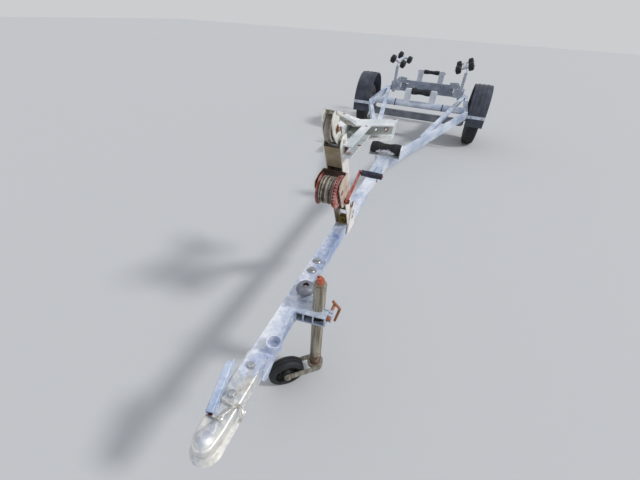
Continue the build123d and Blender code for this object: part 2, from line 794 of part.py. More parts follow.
def winch_drum():
    """Core between two flanges, and the gear disc with its recessed web."""
    y = y_at(winch_s)
    left, right = drum_x
    drum = rod_x(winch_plate_x[0] - 4, winch_plate_x[1] + winch_plate - 0.5, y, winch_z, winch_shaft_r)
    drum += rod_x(left, gear_x, y, winch_z, drum_core_r)
    for x0 in (left, right - drum_sheet):
        drum += rod_x(x0, x0 + drum_sheet, y, winch_z, drum_flange_r)
    gear = toothed_disc(gear_teeth, pinion_angle + 180 / gear_teeth, gear_x, gear_width, y, winch_z)
    gear -= rod_x(gear_x + gear_width - gear_recess, gear_x + gear_width + 1, y, winch_z, gear_rim_r)
    return drum + gear + rod_x(gear_x, gear_x + gear_width, y, winch_z, gear_hub_r)


def wound_rope():
    y = y_at(winch_s)
    x0, x1 = drum_x[0] + drum_sheet, drum_x[1] - drum_sheet
    return rod_x(x0, x1, y, winch_z, rope_r) - rod_x(x0 - 1, x1 + 1, y, winch_z, drum_core_r)


# Post head


def post_head():
    """Folded hood over the pulley, a cheek each side of it, and the bolt through the post's ears."""
    y, z = y_at(pulley_s), pulley_z
    front_s, front_z = hood_front
    tail_s, tail_z = hood_tail
    half = pulley_width / 2 + head_cheek_gap
    head = station_profile([hood_front, hood_tail, (tail_s, tail_z - hood_sheet),
                           (front_s, front_z - hood_sheet)], -hood_half, hood_half)
    head += station_profile([(tail_s, tail_z), (hood_end_s, tail_z - 1), (hood_end_s, hood_end_z),
                             (hood_end_s - hood_sheet, hood_end_z), (hood_end_s - hood_sheet, tail_z - 4),
                             (tail_s, tail_z - hood_sheet)], -hood_half, hood_half)
    lip = [hood_front, hood_tail, (hood_end_s, tail_z - 1), (hood_end_s, hood_end_z),
           (tail_s, hood_end_z + 6), (1000, 1014), (front_s, front_z - hood_lip)]
    cheek = [(838, 1082), (821, 1072), (811, 1057), (818, 1033), (834, 1002), (864, 973), (917, 938),
             (928, 950), (936, 972), (905, 1000), (886, 1029), (876, 1066)]
    bolt_y, bolt_z = y_at(head_bolt_place[0]), head_bolt_place[1]
    for side in (-1, 1):
        x0 = half if side > 0 else -half - head_cheek
        plate = station_profile(cheek, x0, x0 + head_cheek, 3)
        fold_x = hood_half - hood_sheet if side > 0 else -hood_half
        head += plate + station_profile(lip, fold_x, fold_x + hood_sheet)
        nut_x = post_half if side > 0 else -post_half - 6
        nut = extrude(RegularPolygon(head_bolt_pin_r * 1.8, 6), 6)
        head += Pos(nut_x, bolt_y, bolt_z) * Rot(0, 90, 0) * nut
    head += rod_x(-post_half - 9, post_half + 9, bolt_y, bolt_z, head_bolt_pin_r)
    return head + rod_x(-half - head_cheek - 9, half + head_cheek + 9, y, z, pulley_pin_r)


def head_pulley():
    half = pulley_width / 2
    r = pulley_r
    section = [(-half, pulley_pin_r + shaft_gap), (-half, 18), (-half + 5, 22), (-half + 5, r - 14),
               (-half, r - 8), (-half, r), (-half + 3, r), (0, r - 10), (half - 3, r), (half, r),
               (half, r - 8), (half - 5, r - 14),
               (half - 5, 22), (half, 18), (half, pulley_pin_r + shaft_gap)]
    return Pos(0, y_at(pulley_s), pulley_z) * wheel_section(section)


# Bow stop yoke, right half and its mirror


def bow_yoke():
    """Two wings of bent channel that meet on the middle line, and a channel leg each side of the post."""
    angle = math.radians(yoke_sweep)
    slope = math.tan(angle)
    top, low, sheet = yoke_top, yoke_top - yoke_height, yoke_sheet
    back = yoke_back_s
    front = back - yoke_depth / math.cos(angle)
    web = front + yoke_web_depth / math.cos(angle)
    web_back = web + sheet / math.cos(angle)

    def band(first, last, z0, z1):
        rise = yoke_reach * slope
        plan = Polyline((0, y_at(first)), (yoke_reach, y_at(first + rise)), (yoke_reach, y_at(last + rise)),
                        (0, y_at(last)), close=True)
        return Pos(0, 0, z0) * extrude(make_face(plan), z1 - z0)

    wing = band(front, back, top - sheet, top) + band(front, web_back, low, low + sheet)
    wing += band(web, web_back, low, top)
    for x in yoke_holes_x:
        wing -= Pos(x, y_at(web + x * slope), yoke_hole_z) * Rot(0, 0, yoke_sweep) * Rot(90, 0, 0) * Cylinder(
            yoke_hole_r, 40)
    in_x = post_half
    leg = block(in_x, in_x + sheet, y_at(leg_front_s), y_at(web + (in_x + sheet / 2) * slope), leg_low, top)
    for z in (leg_low, top - sheet):
        leg += block(in_x, leg_out_x, y_at(leg_front_s), y_at(leg_end_s), z, z + sheet)
    leg -= rod_x(in_x - 1, in_x + sheet + 1, y_at(leg_slot[0]), leg_slot[1] + 14, 6)
    right = wing + leg
    yoke = right + mirror_x(right)
    y, z = y_at(leg_bolt[0]), leg_bolt[1]
    yoke += rod_x(-in_x - sheet - 9, in_x + sheet + 9, y, z, leg_bolt_r)
    for x0 in (-in_x - sheet - 6, in_x + sheet):
        yoke += Pos(x0, y, z) * Rot(0, 90, 0) * extrude(RegularPolygon(leg_bolt_r * 1.8, 6), 6)
    return yoke


# Frame members


def v_arm(side):
    x = arm_width / 2
    arm = plan_tube([(x, y_at(arm_front_s)), (x, y_at(arm_bend_s)), (rail_x, y_at(rail_start_s))],
                    arm_width, arm_height, arm_wall, frame_top)
    arm -= block(rail_x - 200, rail_x + 200, y_at(rail_start_s), y_at(rail_start_s) + 200, 0, 1000)
    return arm if side > 0 else mirror_x(arm)


def side_rails():
    rail = plan_tube([(rail_x, y_at(rail_start_s)), (rail_x, y_at(rail_end_s))],
                     arm_width, arm_height, arm_wall, frame_top)
    return Compound(children=[rail, mirror_x(rail)])


def brace_struts():
    start_x = rail_x * (strut_start_s - arm_bend_s) / (rail_start_s - arm_bend_s)
    strut = plan_tube([(start_x, y_at(strut_start_s)), (rail_x - 24, y_at(strut_end_s))],
                      strut_width, strut_height, strut_wall, frame_top)
    keep_out = plan_strip([(arm_width / 2, y_at(arm_front_s)), (arm_width / 2, y_at(arm_bend_s)),
                           (rail_x, y_at(rail_start_s))], arm_width, 0, 1000)
    rail = block(rail_x - arm_width / 2, rail_x + 100, y_at(rail_start_s - 200), y_at(rail_end_s), 0, 1000)
    strut = strut - keep_out - rail - rod_x(0, rail_x, y_at(cross_tube_s), cross_tube_z, cross_tube_r)
    strut = max(strut.solids(), key=lambda solid: solid.volume)
    return Compound(children=[strut, mirror_x(strut)])


def drawbar_sleeve():
    """Socket that the drawbar's end sits in, welded to a plate on the arms' front ends."""
    half = sleeve_side / 2
    inner = bar_side / 2 + sheet_gap
    y0, y1 = y_at(sleeve_front_s), y_at(arm_front_s)
    sleeve = block(-half, half, y0, y1, bar_mid - half, bar_mid + half)
    sleeve -= block(-inner, inner, y0 - 1, y1 + 1, bar_mid - inner, bar_mid + inner)
    return sleeve + block(-arm_width, arm_width, y1 - sleeve_plate, y1, frame_top - arm_height, frame_top)


def cross_tube():
    y = y_at(cross_tube_s)
    end = rail_x - arm_width / 2
    return rod_x(-end, end, y, cross_tube_z, cross_tube_r) - rod_x(-end - 1, end + 1, y, cross_tube_z,
                                                                  cross_tube_r - cross_tube_wall)


def tube_rings():
    y = y_at(cross_tube_s)
    rings = []
    for side in (-1, 1):
        x = side * cross_ring_x
        ring = rod_x(x - 6, x + 6, y, cross_tube_z, cross_tube_r + 3)
        rings.append(ring - rod_x(x - 7, x + 7, y, cross_tube_z, cross_tube_r))
    return Compound(children=rings)


def axle_beam():
    y = y_at(axle_s)
    half = axle_side / 2
    inner = half - axle_wall
    beam = block(-axle_half, axle_half, y - half, y + half, axle_z - half, axle_z + half)
    beam = chamfer(beam.edges().filter_by(Axis.X), axle_corner)
    hollow = block(-axle_half - 1, axle_half + 1, y - inner, y + inner, axle_z - inner, axle_z + inner)
    return beam - chamfer(hollow.edges().filter_by(Axis.X), axle_corner - axle_wall / 2)


def axle_brackets():
    y = y_at(axle_s)
    half = axle_side / 2
    in_x, out_x = rail_x - arm_width / 2, rail_x + arm_width / 2
    rail_low = frame_top - arm_height
    top = axle_z + half
    reach = axle_saddle
    shapes = []
    for side in (-1, 1):
        bracket = block(in_x, out_x, y - reach, y + reach, rail_low - 6, rail_low)
        bracket += side_profile([(y - reach, rail_low), (y + reach, rail_low), (y + half, top),
                                (y - half, top)], in_x + 4, in_x + 12)
        bracket += block(in_x - 20, axle_half, y - half + 10, y + half - 10, top, top + 6)
        shapes.append(bracket if side > 0 else mirror_x(bracket))
    return Compound(children=shapes)


def trailing_arms():
    y0, y1 = y_at(axle_s), y_at(wheel_s)
    shapes = []
    for side in (-1, 1):
        x0 = axle_half
        pad = rod_x(x0, x0 + 20, y0, axle_z, 34) + rod_x(x0, x0 + 20, y1, wheel_r, 26)
        web = side_profile([(y0 - 6, axle_z + 33), (y1 - 4, wheel_r + 25), (y1 + 2, wheel_r - 25),
                            (y0 + 6, axle_z - 33)], x0, x0 + 20)
        torsion = rod_x(x0 - torsion_length, x0, y0, axle_z, torsion_r)
        spindle = rod_x(x0 + 20, wheel_x + 34, y1, wheel_r, spindle_r)
        arm = pad + web + torsion + spindle
        shapes.append(arm if side > 0 else mirror_x(arm))
    return Compound(children=shapes)


# Road wheel pieces about the X axis, outer side towards +X


def road_wheel_place(shape, side):
    placed = Pos(wheel_x, y_at(wheel_s), wheel_r) * shape
    return placed if side > 0 else mirror_x(placed)


def tyre(side):
    half = tyre_width / 2
    r = wheel_r
    section = [(-half + 12, rim_r), (-half + 4, rim_r + 20), (-half, rim_r + 55), (-half + 6, r - 22),
               (-half + 20, r - 4), (-half + 36, r), (half - 36, r), (half - 20, r - 4), (half - 6, r - 22),
               (half, rim_r + 55), (half - 4, rim_r + 20), (half - 12, rim_r), (half - 24, rim_r),
               (half - 14, rim_r + 50), (half - 30, r - 16), (-half + 30, r - 16), (-half + 14, rim_r + 50),
               (-half + 24, rim_r)]
    return road_wheel_place(wheel_section(section), side)


def rim(side):
    half = tyre_width / 2
    section = [(-half + 10, rim_r), (-half + 10, rim_r - 4), (-half + 34, rim_r - 6),
               (-half + 46, rim_r - 22), (10, rim_r - 24), (18, rim_r - 40), (10, 96), (26, 70),
               (26, 32), (30, 32), (30, 72), (16, 98), (24, rim_r - 38), (22, rim_r - 20),
               (half - 34, rim_r - 20), (half - 24, rim_r - 4), (half - 10, rim_r - 4),
               (half - 10, rim_r)]
    wheel = wheel_section(section)
    for index in range(4):
        wheel -= Rot(index * 90, 0, 0) * rod_x(0, 60, 50, 0, 7)
    return road_wheel_place(wheel, side)


def hub(side):
    section = [(-46, spindle_r + shaft_gap), (-46, 34), (-6, 34), (14, 44), (14, 66), (26, 66), (26, 31),
               (48, 31), (62, 24), (62, 0), (40, 0), (40, spindle_r + shaft_gap)]
    body = wheel_section(section)
    for index in range(4):
        body += Rot(index * 90, 0, 0) * rod_x(14, 42, 50, 0, 6.5)
    return road_wheel_place(body, side)


# Mudguards


def arch(radius, low):
    y = y_at(wheel_s)
    base = Pos(y, guard_centre_z) * Circle(radius)
    legs = Pos(y, (guard_centre_z + low) / 2) * Rectangle(2 * radius, guard_centre_z - low)
    outline = base + legs
    outline &= Pos(y, low + 2 * radius) * Rectangle(4 * radius, 4 * radius)
    return outline


def arch_block(radius, low, x0, x1):
    face = Plane.YZ * arch(radius, low)
    return Pos(x0, 0, 0) * extrude(face, amount=x1 - x0, dir=(1, 0, 0))


def mudguards():
    x0, x1 = guard_inner_x, guard_inner_x + guard_width
    shell = arch_block(guard_r, guard_low, x0, x1)
    shell -= arch_block(guard_r - guard_sheet, guard_low - 5, x0 + guard_sheet, x1 - guard_sheet)
    shell -= arch_block(guard_r - guard_lip, guard_low - 5, x0 - 1, x1 + 1)
    for step in (0.25, 0.5, 0.75):
        centre = x0 + guard_width * step
        rib = arch_block(guard_r + guard_rib, guard_low + 30, centre - 12, centre + 12)
        rib -= arch_block(guard_r - 1, guard_low - 5, centre - 13, centre + 13)
        shell += rib
    return Compound(children=[shell, mirror_x(shell)])


def guard_straps():
    shapes = []
    rail_out = rail_x + arm_width / 2
    outer = guard_inner_x + guard_width
    reach = guard_r + guard_rib
    for end in (-1, 1):
        y = y_at(wheel_s) + end * (reach + strap_sheet / 2)
        strap = block(rail_out, outer, y - strap_sheet / 2, y + strap_sheet / 2, strap_z - strap_width / 2,
                      strap_z + strap_width / 2)
        foot = block(rail_out, rail_out + strap_sheet, y - 25, y + 25, strap_z - strap_width / 2,
                     strap_z + strap_width / 2)
        shapes.append(strap + foot)
    return Compound(children=shapes + [mirror_x(shape) for shape in shapes])


# Rear members


def rear_beam():
    end = rail_x - arm_width / 2
    y = y_at(rear_beam_s)
    half = rear_beam_depth / 2
    low = frame_top - rear_beam_height
    beam = block(-end, end, y - half, y + half, low, frame_top)
    return beam - block(-end - 1, end + 1, y - half + 4, y + half - 4, low + 4, frame_top - 4)


def roller_beam():
    """Channel with its web to the front, slotted for the roller stands."""
    y0 = y_at(rear_beam_s) - rear_beam_depth / 2
    z0, z1 = frame_top, frame_top + roller_beam_height
    half = roller_beam_half
    sheet = roller_beam_sheet
    beam = block(-half, half, y0, y0 + roller_beam_depth, z0, z1)
    beam -= block(-half - 1, half + 1, y0 + sheet, y0 + roller_beam_depth + 1, z0 + sheet, z1 - sheet)
    for x, z, length in beam_slots:
        if length > beam_slot_height + 2:
            slot = SlotOverall(length, beam_slot_height)
        else:
            slot = Circle(beam_slot_height / 2)
        beam -= Pos(x, y0 + sheet + 1, z) * Rot(90, 0, 0) * extrude(slot, sheet + 2)
    return beam


def post_plate_piece():
    """Cut plate that bolts the post and the roller beam to the frame's rear."""
    y0 = y_at(rear_beam_s) - rear_beam_depth / 2 - post_plate
    face = make_face(Polyline(*[(x, y0 + post_plate, z) for x, z in post_plate_outline], close=True))
    plate = extrude(face, amount=post_plate, dir=(0, -1, 0))
    for x, z in post_plate_holes:
        plate -= rod_y(y0 - 1, y0 + post_plate + 1, x, z, 6)
    for x, z in post_plate_bolts:
        plate += Pos(x, y0, z) * Rot(90, 0, 0) * extrude(RegularPolygon(11, 6), 8)
    return plate


def swing_place(shape, side):
    """Puts a shape made about the carriage's pivot, its axle along X, onto that side's post."""
    placed = Pos(swing_x, swing_y, swing_z) * Rot(0, -swing_lean, 0) * shape
    return placed if side > 0 else mirror_x(placed)


def roller_posts():
    y1 = y_at(rear_beam_s) - rear_beam_depth / 2 - post_plate
    y0 = y1 - post_side
    x0, x1 = post_x - post_side / 2, post_x + post_side / 2
    post = block(x0, x1, y0, y1, post_low_z, post_high_z)
    wall = post_wall
    post -= block(x0 + wall, x1 - wall, y0 + wall, y1 - wall, post_low_z - 1, post_high_z - wall)
    ear_x = swing_bar / 2 + 2
    ear = block(ear_x, ear_x + swing_ear, -17, 17, -120, 0) + rod_x(ear_x, ear_x + swing_ear, 0, 0, 17)
    ear += rod_x(-swing_bar / 2 - 6, ear_x + swing_ear + 8, 0, 0, swing_pin_r)
    ear += rod_x(-swing_bar / 2 - 6, -swing_bar / 2 - 1, 0, 0, swing_pin_r + 5)
    ear = swing_place(ear, 1) - block(x0 - 50, x1 + 50, y0 - 1, y1 + 1, 0, post_high_z)
    post += ear
    post += post_plate_piece()
    return Compound(children=[post, mirror_x(post)])


swing_y = y_at(rear_beam_s) - rear_beam_depth / 2 - post_plate - post_side / 2


def swing_bar_piece(side):
    """Rocking arm, deepest at its pivot, with a roller axle at each end."""
    half = swing_bar / 2
    tip = swing_arm + 18
    bar = side_profile([(-tip, 13), (0, 24), (tip, 13), (tip, -13), (0, -22), (-tip, -13)], -half, half, 5)
    bar -= rod_x(-half - 1, half + 1, 0, 0, swing_pin_r + shaft_gap)
    reach = swing_spread + swing_width / 2 + 10
    for end in (-1, 1):
        bar += rod_x(-reach, reach, end * swing_arm, 0, swing_axle_r)
        for out in (-1, 1):
            stop = out * (swing_spread - swing_width / 2 - 1.5)
            bar += rod_x(min(stop, out * half), max(stop, out * half), end * swing_arm, 0, swing_axle_r + 4)
    return swing_place(bar, side)


def swing_rollers(side, end):
    """Two ribbed rollers on one axle."""
    r, half = swing_r, swing_width / 2
    bore = swing_axle_r + shaft_gap
    section = [(-half, bore), (-half, r * 0.62), (-half + 9, r * 0.93), (-half + 18, r), (half - 18, r),
               (half - 9, r * 0.93), (half, r * 0.62), (half, bore)]
    roller = wheel_section(section)
    pair = [Pos(out * swing_spread, end * swing_arm, 0) * roller for out in (-1, 1)]
    return Compound(children=[swing_place(shape, side) for shape in pair])


def tail_spine():
    y0 = y_at(rear_beam_s) + rear_beam_depth / 2
    y1 = y_at(tail_end_s)
    half = tail_spine_side / 2
    low = frame_top - tail_spine_side
    spine = block(-half, half, y0, y1, low, frame_top)
    spine -= block(-half + 4, half - 4, y0 - 1, y1 + 1, low + 4, frame_top - 4)
    return spine + tail_crossbar()


def tail_crossbar():
    y = y_at(keel_rear_s)
    reach = keel_half + 4 + keel_post_width
    top = frame_top + tail_bar_height
    bar = block(-reach, reach, y - 20, y + 20, frame_top, top)
    return bar - block(-reach - 1, reach + 1, y - 17, y + 17, frame_top + 3, top - 3)


# Keel roller uprights: channels with their web to the front


def keel_uprights(station, seat, centre_z):
    y = y_at(station)
    x0 = keel_half + 4
    x1 = x0 + keel_post_width
    y0 = y - keel_post_depth / 2
    top = centre_z + keel_post_over
    shape = block(x0, x1, y0, y0 + keel_post_depth, seat, top)
    shape = fillet(shape.edges().filter_by(Axis.Y).group_by(Axis.Z)[-1], keel_post_corner)
    shape -= block(x0 + keel_post_sheet, x1 - keel_post_sheet, y0 + keel_post_sheet, y0 + keel_post_depth + 1,
                   seat - 1, top - keel_post_sheet)
    shape -= rod_x(x0 - 1, x1 + 1, y, centre_z, keel_pin_r)
    return shape


def keel_bracket_mid():
    upright = keel_uprights(cross_tube_s, cross_tube_z, keel_mid_z)
    upright -= rod_x(-rail_x, rail_x, y_at(cross_tube_s), cross_tube_z, cross_tube_r)
    upright = max(upright.solids(), key=lambda solid: solid.volume)
    return Compound(children=[upright, mirror_x(upright)])


def keel_bracket_rear():
    upright = keel_uprights(keel_rear_s, frame_top + tail_bar_height, keel_rear_z)
    return Compound(children=[upright, mirror_x(upright)])


def keel_bracket_front():
    y = y_at(keel_front_s)
    half = keel_front_half
    depth = 96.0
    base = block(-half - 6, half + 6, y - depth / 2, y + depth / 2, frame_top, frame_top + 6)
    frame = base
    for x0 in (-half - 6, half):
        side = block(x0, x0 + 6, y - depth / 2, y + depth / 2, frame_top, keel_front_z + 34)
        side = fillet(side.edges().filter_by(Axis.X).group_by(Axis.Z)[-1], 20)
        frame += side
    frame += rod_x(-half - 16, half + 16, y, keel_front_z, keel_pin_r)
    return frame


def keel_roller(half, radius, station, z):
    waist = radius * 0.8
    section = [(-half, keel_pin_r + shaft_gap), (-half, radius * 0.86), (-half + 6, radius),
               (-half * 0.6, radius), (-half * 0.2, waist), (half * 0.2, waist),
               (half * 0.6, radius), (half - 6, radius),
               (half, radius * 0.86), (half, keel_pin_r + shaft_gap)]
    return Pos(0, y_at(station), z) * wheel_section(section)


def keel_pins():
    reach = keel_half + keel_post_width + 16
    return Compound(children=[rod_x(-reach, reach, y_at(cross_tube_s), keel_mid_z, keel_pin_r),
                              rod_x(-reach, reach, y_at(keel_rear_s), keel_rear_z, keel_pin_r)])


pieces = {
    "drawbar": drawbar(),
    "coupling_head": coupling_head(),
    "coupling_handle": coupling_handle(),
    "coupling_catch": coupling_catch(),
    "holder_tube": holder_tube(),
    "domed_cap": domed_cap(),
    "drawbar_bolts": drawbar_bolts(),
    "jockey_clamp": jockey_clamp(),
    "clamp_handle": clamp_handle(),
    "jockey_tube": jockey_tube(),
    "jockey_crown": jockey_crown(),
    "jockey_inner": jockey_inner(),
    "jockey_fork": jockey_fork(),
    "jockey_wheel": jockey_wheel(),
    "winch_post": winch_post(),
    "post_block": post_block(),
    "winch_frame": winch_frame(),
    "winch_drum": winch_drum(),
    "wound_rope": wound_rope(),
    "winch_pinion": winch_pinion(),
    "winch_crank": winch_crank(),
    "crank_grip": crank_grip(),
    "post_head": post_head(),
    "head_pulley": head_pulley(),
    "bow_yoke": bow_yoke(),
    "v_arm_right": v_arm(1),
    "v_arm_left": v_arm(-1),
    "side_rails": side_rails(),
    "brace_struts": brace_struts(),
    "drawbar_sleeve": drawbar_sleeve(),
    "cross_tube": cross_tube(),
    "tube_rings": tube_rings(),
    "axle_beam": axle_beam(),
    "axle_brackets": axle_brackets(),
    "trailing_arms": trailing_arms(),
    "mudguards": mudguards(),
    "guard_straps": guard_straps(),
    "rear_beam": rear_beam(),
    "roller_beam": roller_beam(),
    "roller_posts": roller_posts(),
    "tail_spine": tail_spine(),
    "keel_bracket_front": keel_bracket_front(),
    "keel_bracket_mid": keel_bracket_mid(),
    "keel_bracket_rear": keel_bracket_rear(),
    "keel_pins": keel_pins(),
    "keel_roller_front": keel_roller(keel_front_half - 4, keel_front_r, keel_front_s, keel_front_z),
    "keel_roller_mid": keel_roller(keel_half, keel_mid_r, cross_tube_s, keel_mid_z),
    "keel_roller_rear": keel_roller(keel_half, keel_rear_r, keel_rear_s, keel_rear_z),
}

for side, word in ((1, "right"), (-1, "left")):
    pieces[f"tyre_{word}"] = tyre(side)
    pieces[f"wheel_{word}"] = rim(side)
    pieces[f"hub_{word}"] = hub(side)
    pieces[f"swing_bar_{word}"] = swing_bar_piece(side)
    for end, place in ((-1, "front"), (1, "back")):
        pieces[f"swing_rollers_{place}_{word}"] = swing_rollers(side, end)

for name, shape in pieces.items():
    save(shape, name)
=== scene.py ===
import math
from collections import namedtuple

import bmesh
import bpy
from bpy.props import FloatProperty, FloatVectorProperty, IntProperty, PointerProperty
from mathutils import Matrix, Vector


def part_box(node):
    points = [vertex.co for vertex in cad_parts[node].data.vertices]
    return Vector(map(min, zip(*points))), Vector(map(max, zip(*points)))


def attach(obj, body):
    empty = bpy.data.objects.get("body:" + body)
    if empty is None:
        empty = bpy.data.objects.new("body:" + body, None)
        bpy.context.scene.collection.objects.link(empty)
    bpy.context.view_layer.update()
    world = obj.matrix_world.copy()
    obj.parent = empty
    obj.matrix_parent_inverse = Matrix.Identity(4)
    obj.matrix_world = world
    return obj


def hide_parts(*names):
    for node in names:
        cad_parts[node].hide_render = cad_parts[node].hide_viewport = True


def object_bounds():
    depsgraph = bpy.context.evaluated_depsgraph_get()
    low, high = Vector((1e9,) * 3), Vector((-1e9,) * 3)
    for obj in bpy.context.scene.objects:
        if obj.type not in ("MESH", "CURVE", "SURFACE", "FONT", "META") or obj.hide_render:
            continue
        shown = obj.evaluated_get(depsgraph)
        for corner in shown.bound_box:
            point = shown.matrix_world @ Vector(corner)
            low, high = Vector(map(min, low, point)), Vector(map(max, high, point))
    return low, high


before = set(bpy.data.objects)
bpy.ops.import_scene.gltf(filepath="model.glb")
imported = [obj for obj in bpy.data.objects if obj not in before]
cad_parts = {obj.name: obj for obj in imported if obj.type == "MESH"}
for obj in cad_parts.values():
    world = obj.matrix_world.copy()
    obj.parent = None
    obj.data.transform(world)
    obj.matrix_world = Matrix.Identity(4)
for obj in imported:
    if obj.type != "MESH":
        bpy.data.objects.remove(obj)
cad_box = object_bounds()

bl_info = {
    "name": "Boat trailer finish",
    "version": (1, 0, 0),
    "blender": (4, 5, 0),
    "location": "View3D > Sidebar > Trailer",
    "description": "Dresses a galvanised roller trailer: finishes, tyres, bolts, rope and studio",
    "category": "Object",
}

MM = 0.001
NOSE_Y = cad_box[0][1]


def row(x, station, z):
    """A point in metres from the trailer's own millimetres: x, station behind the nose, height."""
    return Vector((x * MM, NOSE_Y + station * MM, z * MM))


def extent(node):
    """A node's box in the trailer's own millimetres: its lowest and highest x, station and height."""
    low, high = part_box(node)
    return [((a - nose) / MM, (b - nose) / MM) for a, b, nose in zip(low, high, (0, NOSE_Y, 0))]


def middle_of(node):
    """The middle of a node's box, in metres."""
    return row(*[(low + high) / 2 for low, high in extent(node)])


def half_of(node, axis):
    """Half a node's size along an axis, 0, 1 or 2 for x, y or z, in millimetres."""
    low, high = extent(node)[axis]
    return (high - low) / 2


# Selecting, editing and copying

def single(piece):
    """Makes this the only selected object and the active one."""
    bpy.ops.object.select_all(action="DESELECT")
    piece.select_set(True)
    bpy.context.view_layer.objects.active = piece


def primitive(kind, name, **size):
    """Adds a mesh primitive by operator with nothing else selected."""
    bpy.ops.object.select_all(action="DESELECT")
    getattr(bpy.ops.mesh, f"primitive_{kind}_add")(**size)
    piece = bpy.context.object
    piece.name = name
    piece.data.name = name
    return piece


def pick(piece, test):
    """In edit mode, selects the faces that pass the test and nothing else."""
    mesh = bmesh.from_edit_mesh(piece.data)
    for group in (mesh.faces, mesh.edges, mesh.verts):
        for item in group:
            item.select = False
    for face in mesh.faces:
        if test(face):
            face.select_set(True)
    bmesh.update_edit_mesh(piece.data)


def edit(piece, kind="FACE"):
    single(piece)
    bpy.ops.object.mode_set(mode="EDIT")
    bpy.ops.mesh.select_mode(type=kind)


def leave():
    bpy.ops.object.mode_set(mode="OBJECT")


def settle(piece, angle):
    """Puts a piece's place into its mesh and smooths the edges that turn by less than angle, in degrees."""
    single(piece)
    bpy.ops.object.transform_apply(location=True, rotation=True, scale=True)
    bpy.ops.object.shade_smooth_by_angle(angle=math.radians(angle))
    return piece


def modify(piece, kind, **values):
    """Adds one modifier with its settings and applies it."""
    single(piece)
    made = piece.modifiers.new(kind.lower(), kind)
    for key, value in values.items():
        setattr(made, key, value)
    bpy.ops.object.modifier_apply(modifier=made.name)
    return piece


def bevel_edges(piece, width_mm):
    """Rounds a piece's edges that turn by more than 40 degrees."""
    return modify(piece, "BEVEL", width=width_mm * MM, segments=2, limit_method="ANGLE",
                  angle_limit=math.radians(40))


def copy_at(piece, name, matrix):
    """A copy with a mesh of its own, placed by a matrix in its vertices."""
    mesh = piece.data.copy()
    mesh.transform(matrix)
    made = bpy.data.objects.new(name, mesh)
    bpy.context.scene.collection.objects.link(made)
    return made


def join(pieces, name):
    bpy.ops.object.select_all(action="DESELECT")
    for piece in pieces:
        piece.select_set(True)
    bpy.context.view_layer.objects.active = pieces[0]
    bpy.ops.object.join()
    made = bpy.context.object
    made.name = name
    made.data.name = name
    return made


def spread(master, name, matrices):
    """Copies the master by each matrix and joins the copies under one name."""
    made = [copy_at(master, f"{name}_{index}", matrix) for index, matrix in enumerate(matrices)]
    return join(made, name) if len(made) > 1 else made[0]


def turn_to(direction, place=(0, 0, 0)):
    """Matrix that stands a piece made along +Z on a place, pointing in a direction."""
    turn = Vector(direction).to_track_quat("Z", "Y").to_matrix().to_4x4()
    return Matrix.Translation(Vector(place)) @ turn


# Stands a lathed piece, whose axis is X, on its foot
UPRIGHT = Matrix.Rotation(-math.pi / 2, 4, "Y")


def drop(piece):
    bpy.data.objects.remove(piece)


def finish_piece(piece, body, material):
    """Gives a new piece its finish in its material slot and the body it rides on."""
    piece.data.materials.clear()
    piece.data.materials.append(finish(material))
    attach(piece, body)
    return piece


# Shapes made by hand tools

def lathe(name, outline, steps):
    """Turns a closed outline of (x, r) points, in millimetres, round the X axis."""
    piece = primitive("plane", name, size=0.01)
    edit(piece, "VERT")
    bpy.ops.mesh.select_all(action="SELECT")
    bpy.ops.mesh.merge(type="CENTER")
    here = Vector((outline[0][0] * MM, 0, outline[0][1] * MM))
    bpy.ops.transform.translate(value=here)
    for x, r in outline[1:]:
        there = Vector((x * MM, 0, r * MM))
        bpy.ops.mesh.extrude_region_move(TRANSFORM_OT_translate={"value": there - here})
        here = there
    bpy.ops.mesh.select_all(action="SELECT")
    bpy.ops.mesh.spin(steps=steps, angle=math.tau, center=(0, 0, 0), axis=(1, 0, 0))
    bpy.ops.mesh.select_all(action="SELECT")
    bpy.ops.mesh.remove_doubles(threshold=1e-5)
    bpy.ops.mesh.normals_make_consistent(inside=False)
    leave()
    return piece


def around(face):
    """How far round the X axis a face's middle lies, in degrees from 0 to 360."""
    middle = face.calc_center_median()
    return math.degrees(math.atan2(middle.z, middle.y)) % 360


def sink(piece, test, depth_mm):
    """Pushes the faces that pass the test in along their normals."""
    edit(piece)
    pick(piece, test)
    bpy.ops.mesh.extrude_region_shrink_fatten(TRANSFORM_OT_shrink_fatten={"value": -depth_mm * MM})
    leave()


def hex_bolt(name, flats, height, washer_r=0.0, washer=2.0, thread=0.0, thread_r=0.0):
    """Hex head or nut on its washer along +Z, chamfered, with the thread's end standing out of it. Sizes are
    in millimetres; flats is the width across the flats."""
    chamfer, rise, border = flats * 0.06, flats * 0.05, flats * 0.1
    head = primitive("cylinder", name, vertices=6, radius=flats / math.sqrt(3) * MM, depth=height * MM,
                     location=(0, 0, (washer + height / 2) * MM))
    edit(head)
    pick(head, lambda face: face.normal.z > 0.9)
    bpy.ops.mesh.inset(thickness=chamfer * MM, depth=0)
    bpy.ops.transform.translate(value=(0, 0, rise * MM))
    bpy.ops.mesh.inset(thickness=border * MM, depth=0)
    leave()
    parts = [head]
    if washer_r:
        ring = primitive("cylinder", f"{name}_washer", vertices=28, radius=washer_r * MM, depth=washer * MM,
                         location=(0, 0, washer / 2 * MM))
        parts.append(bevel_edges(ring, 0.5))
    if thread:
        stud = primitive("cylinder", f"{name}_thread", vertices=16, radius=thread_r * MM, depth=thread * MM,
                         location=(0, 0, (washer + height + thread / 2) * MM))
        parts.append(bevel_edges(stud, 0.8))
    for part in parts:
        settle(part, 30)
    return join(parts, name) if len(parts) > 1 else head


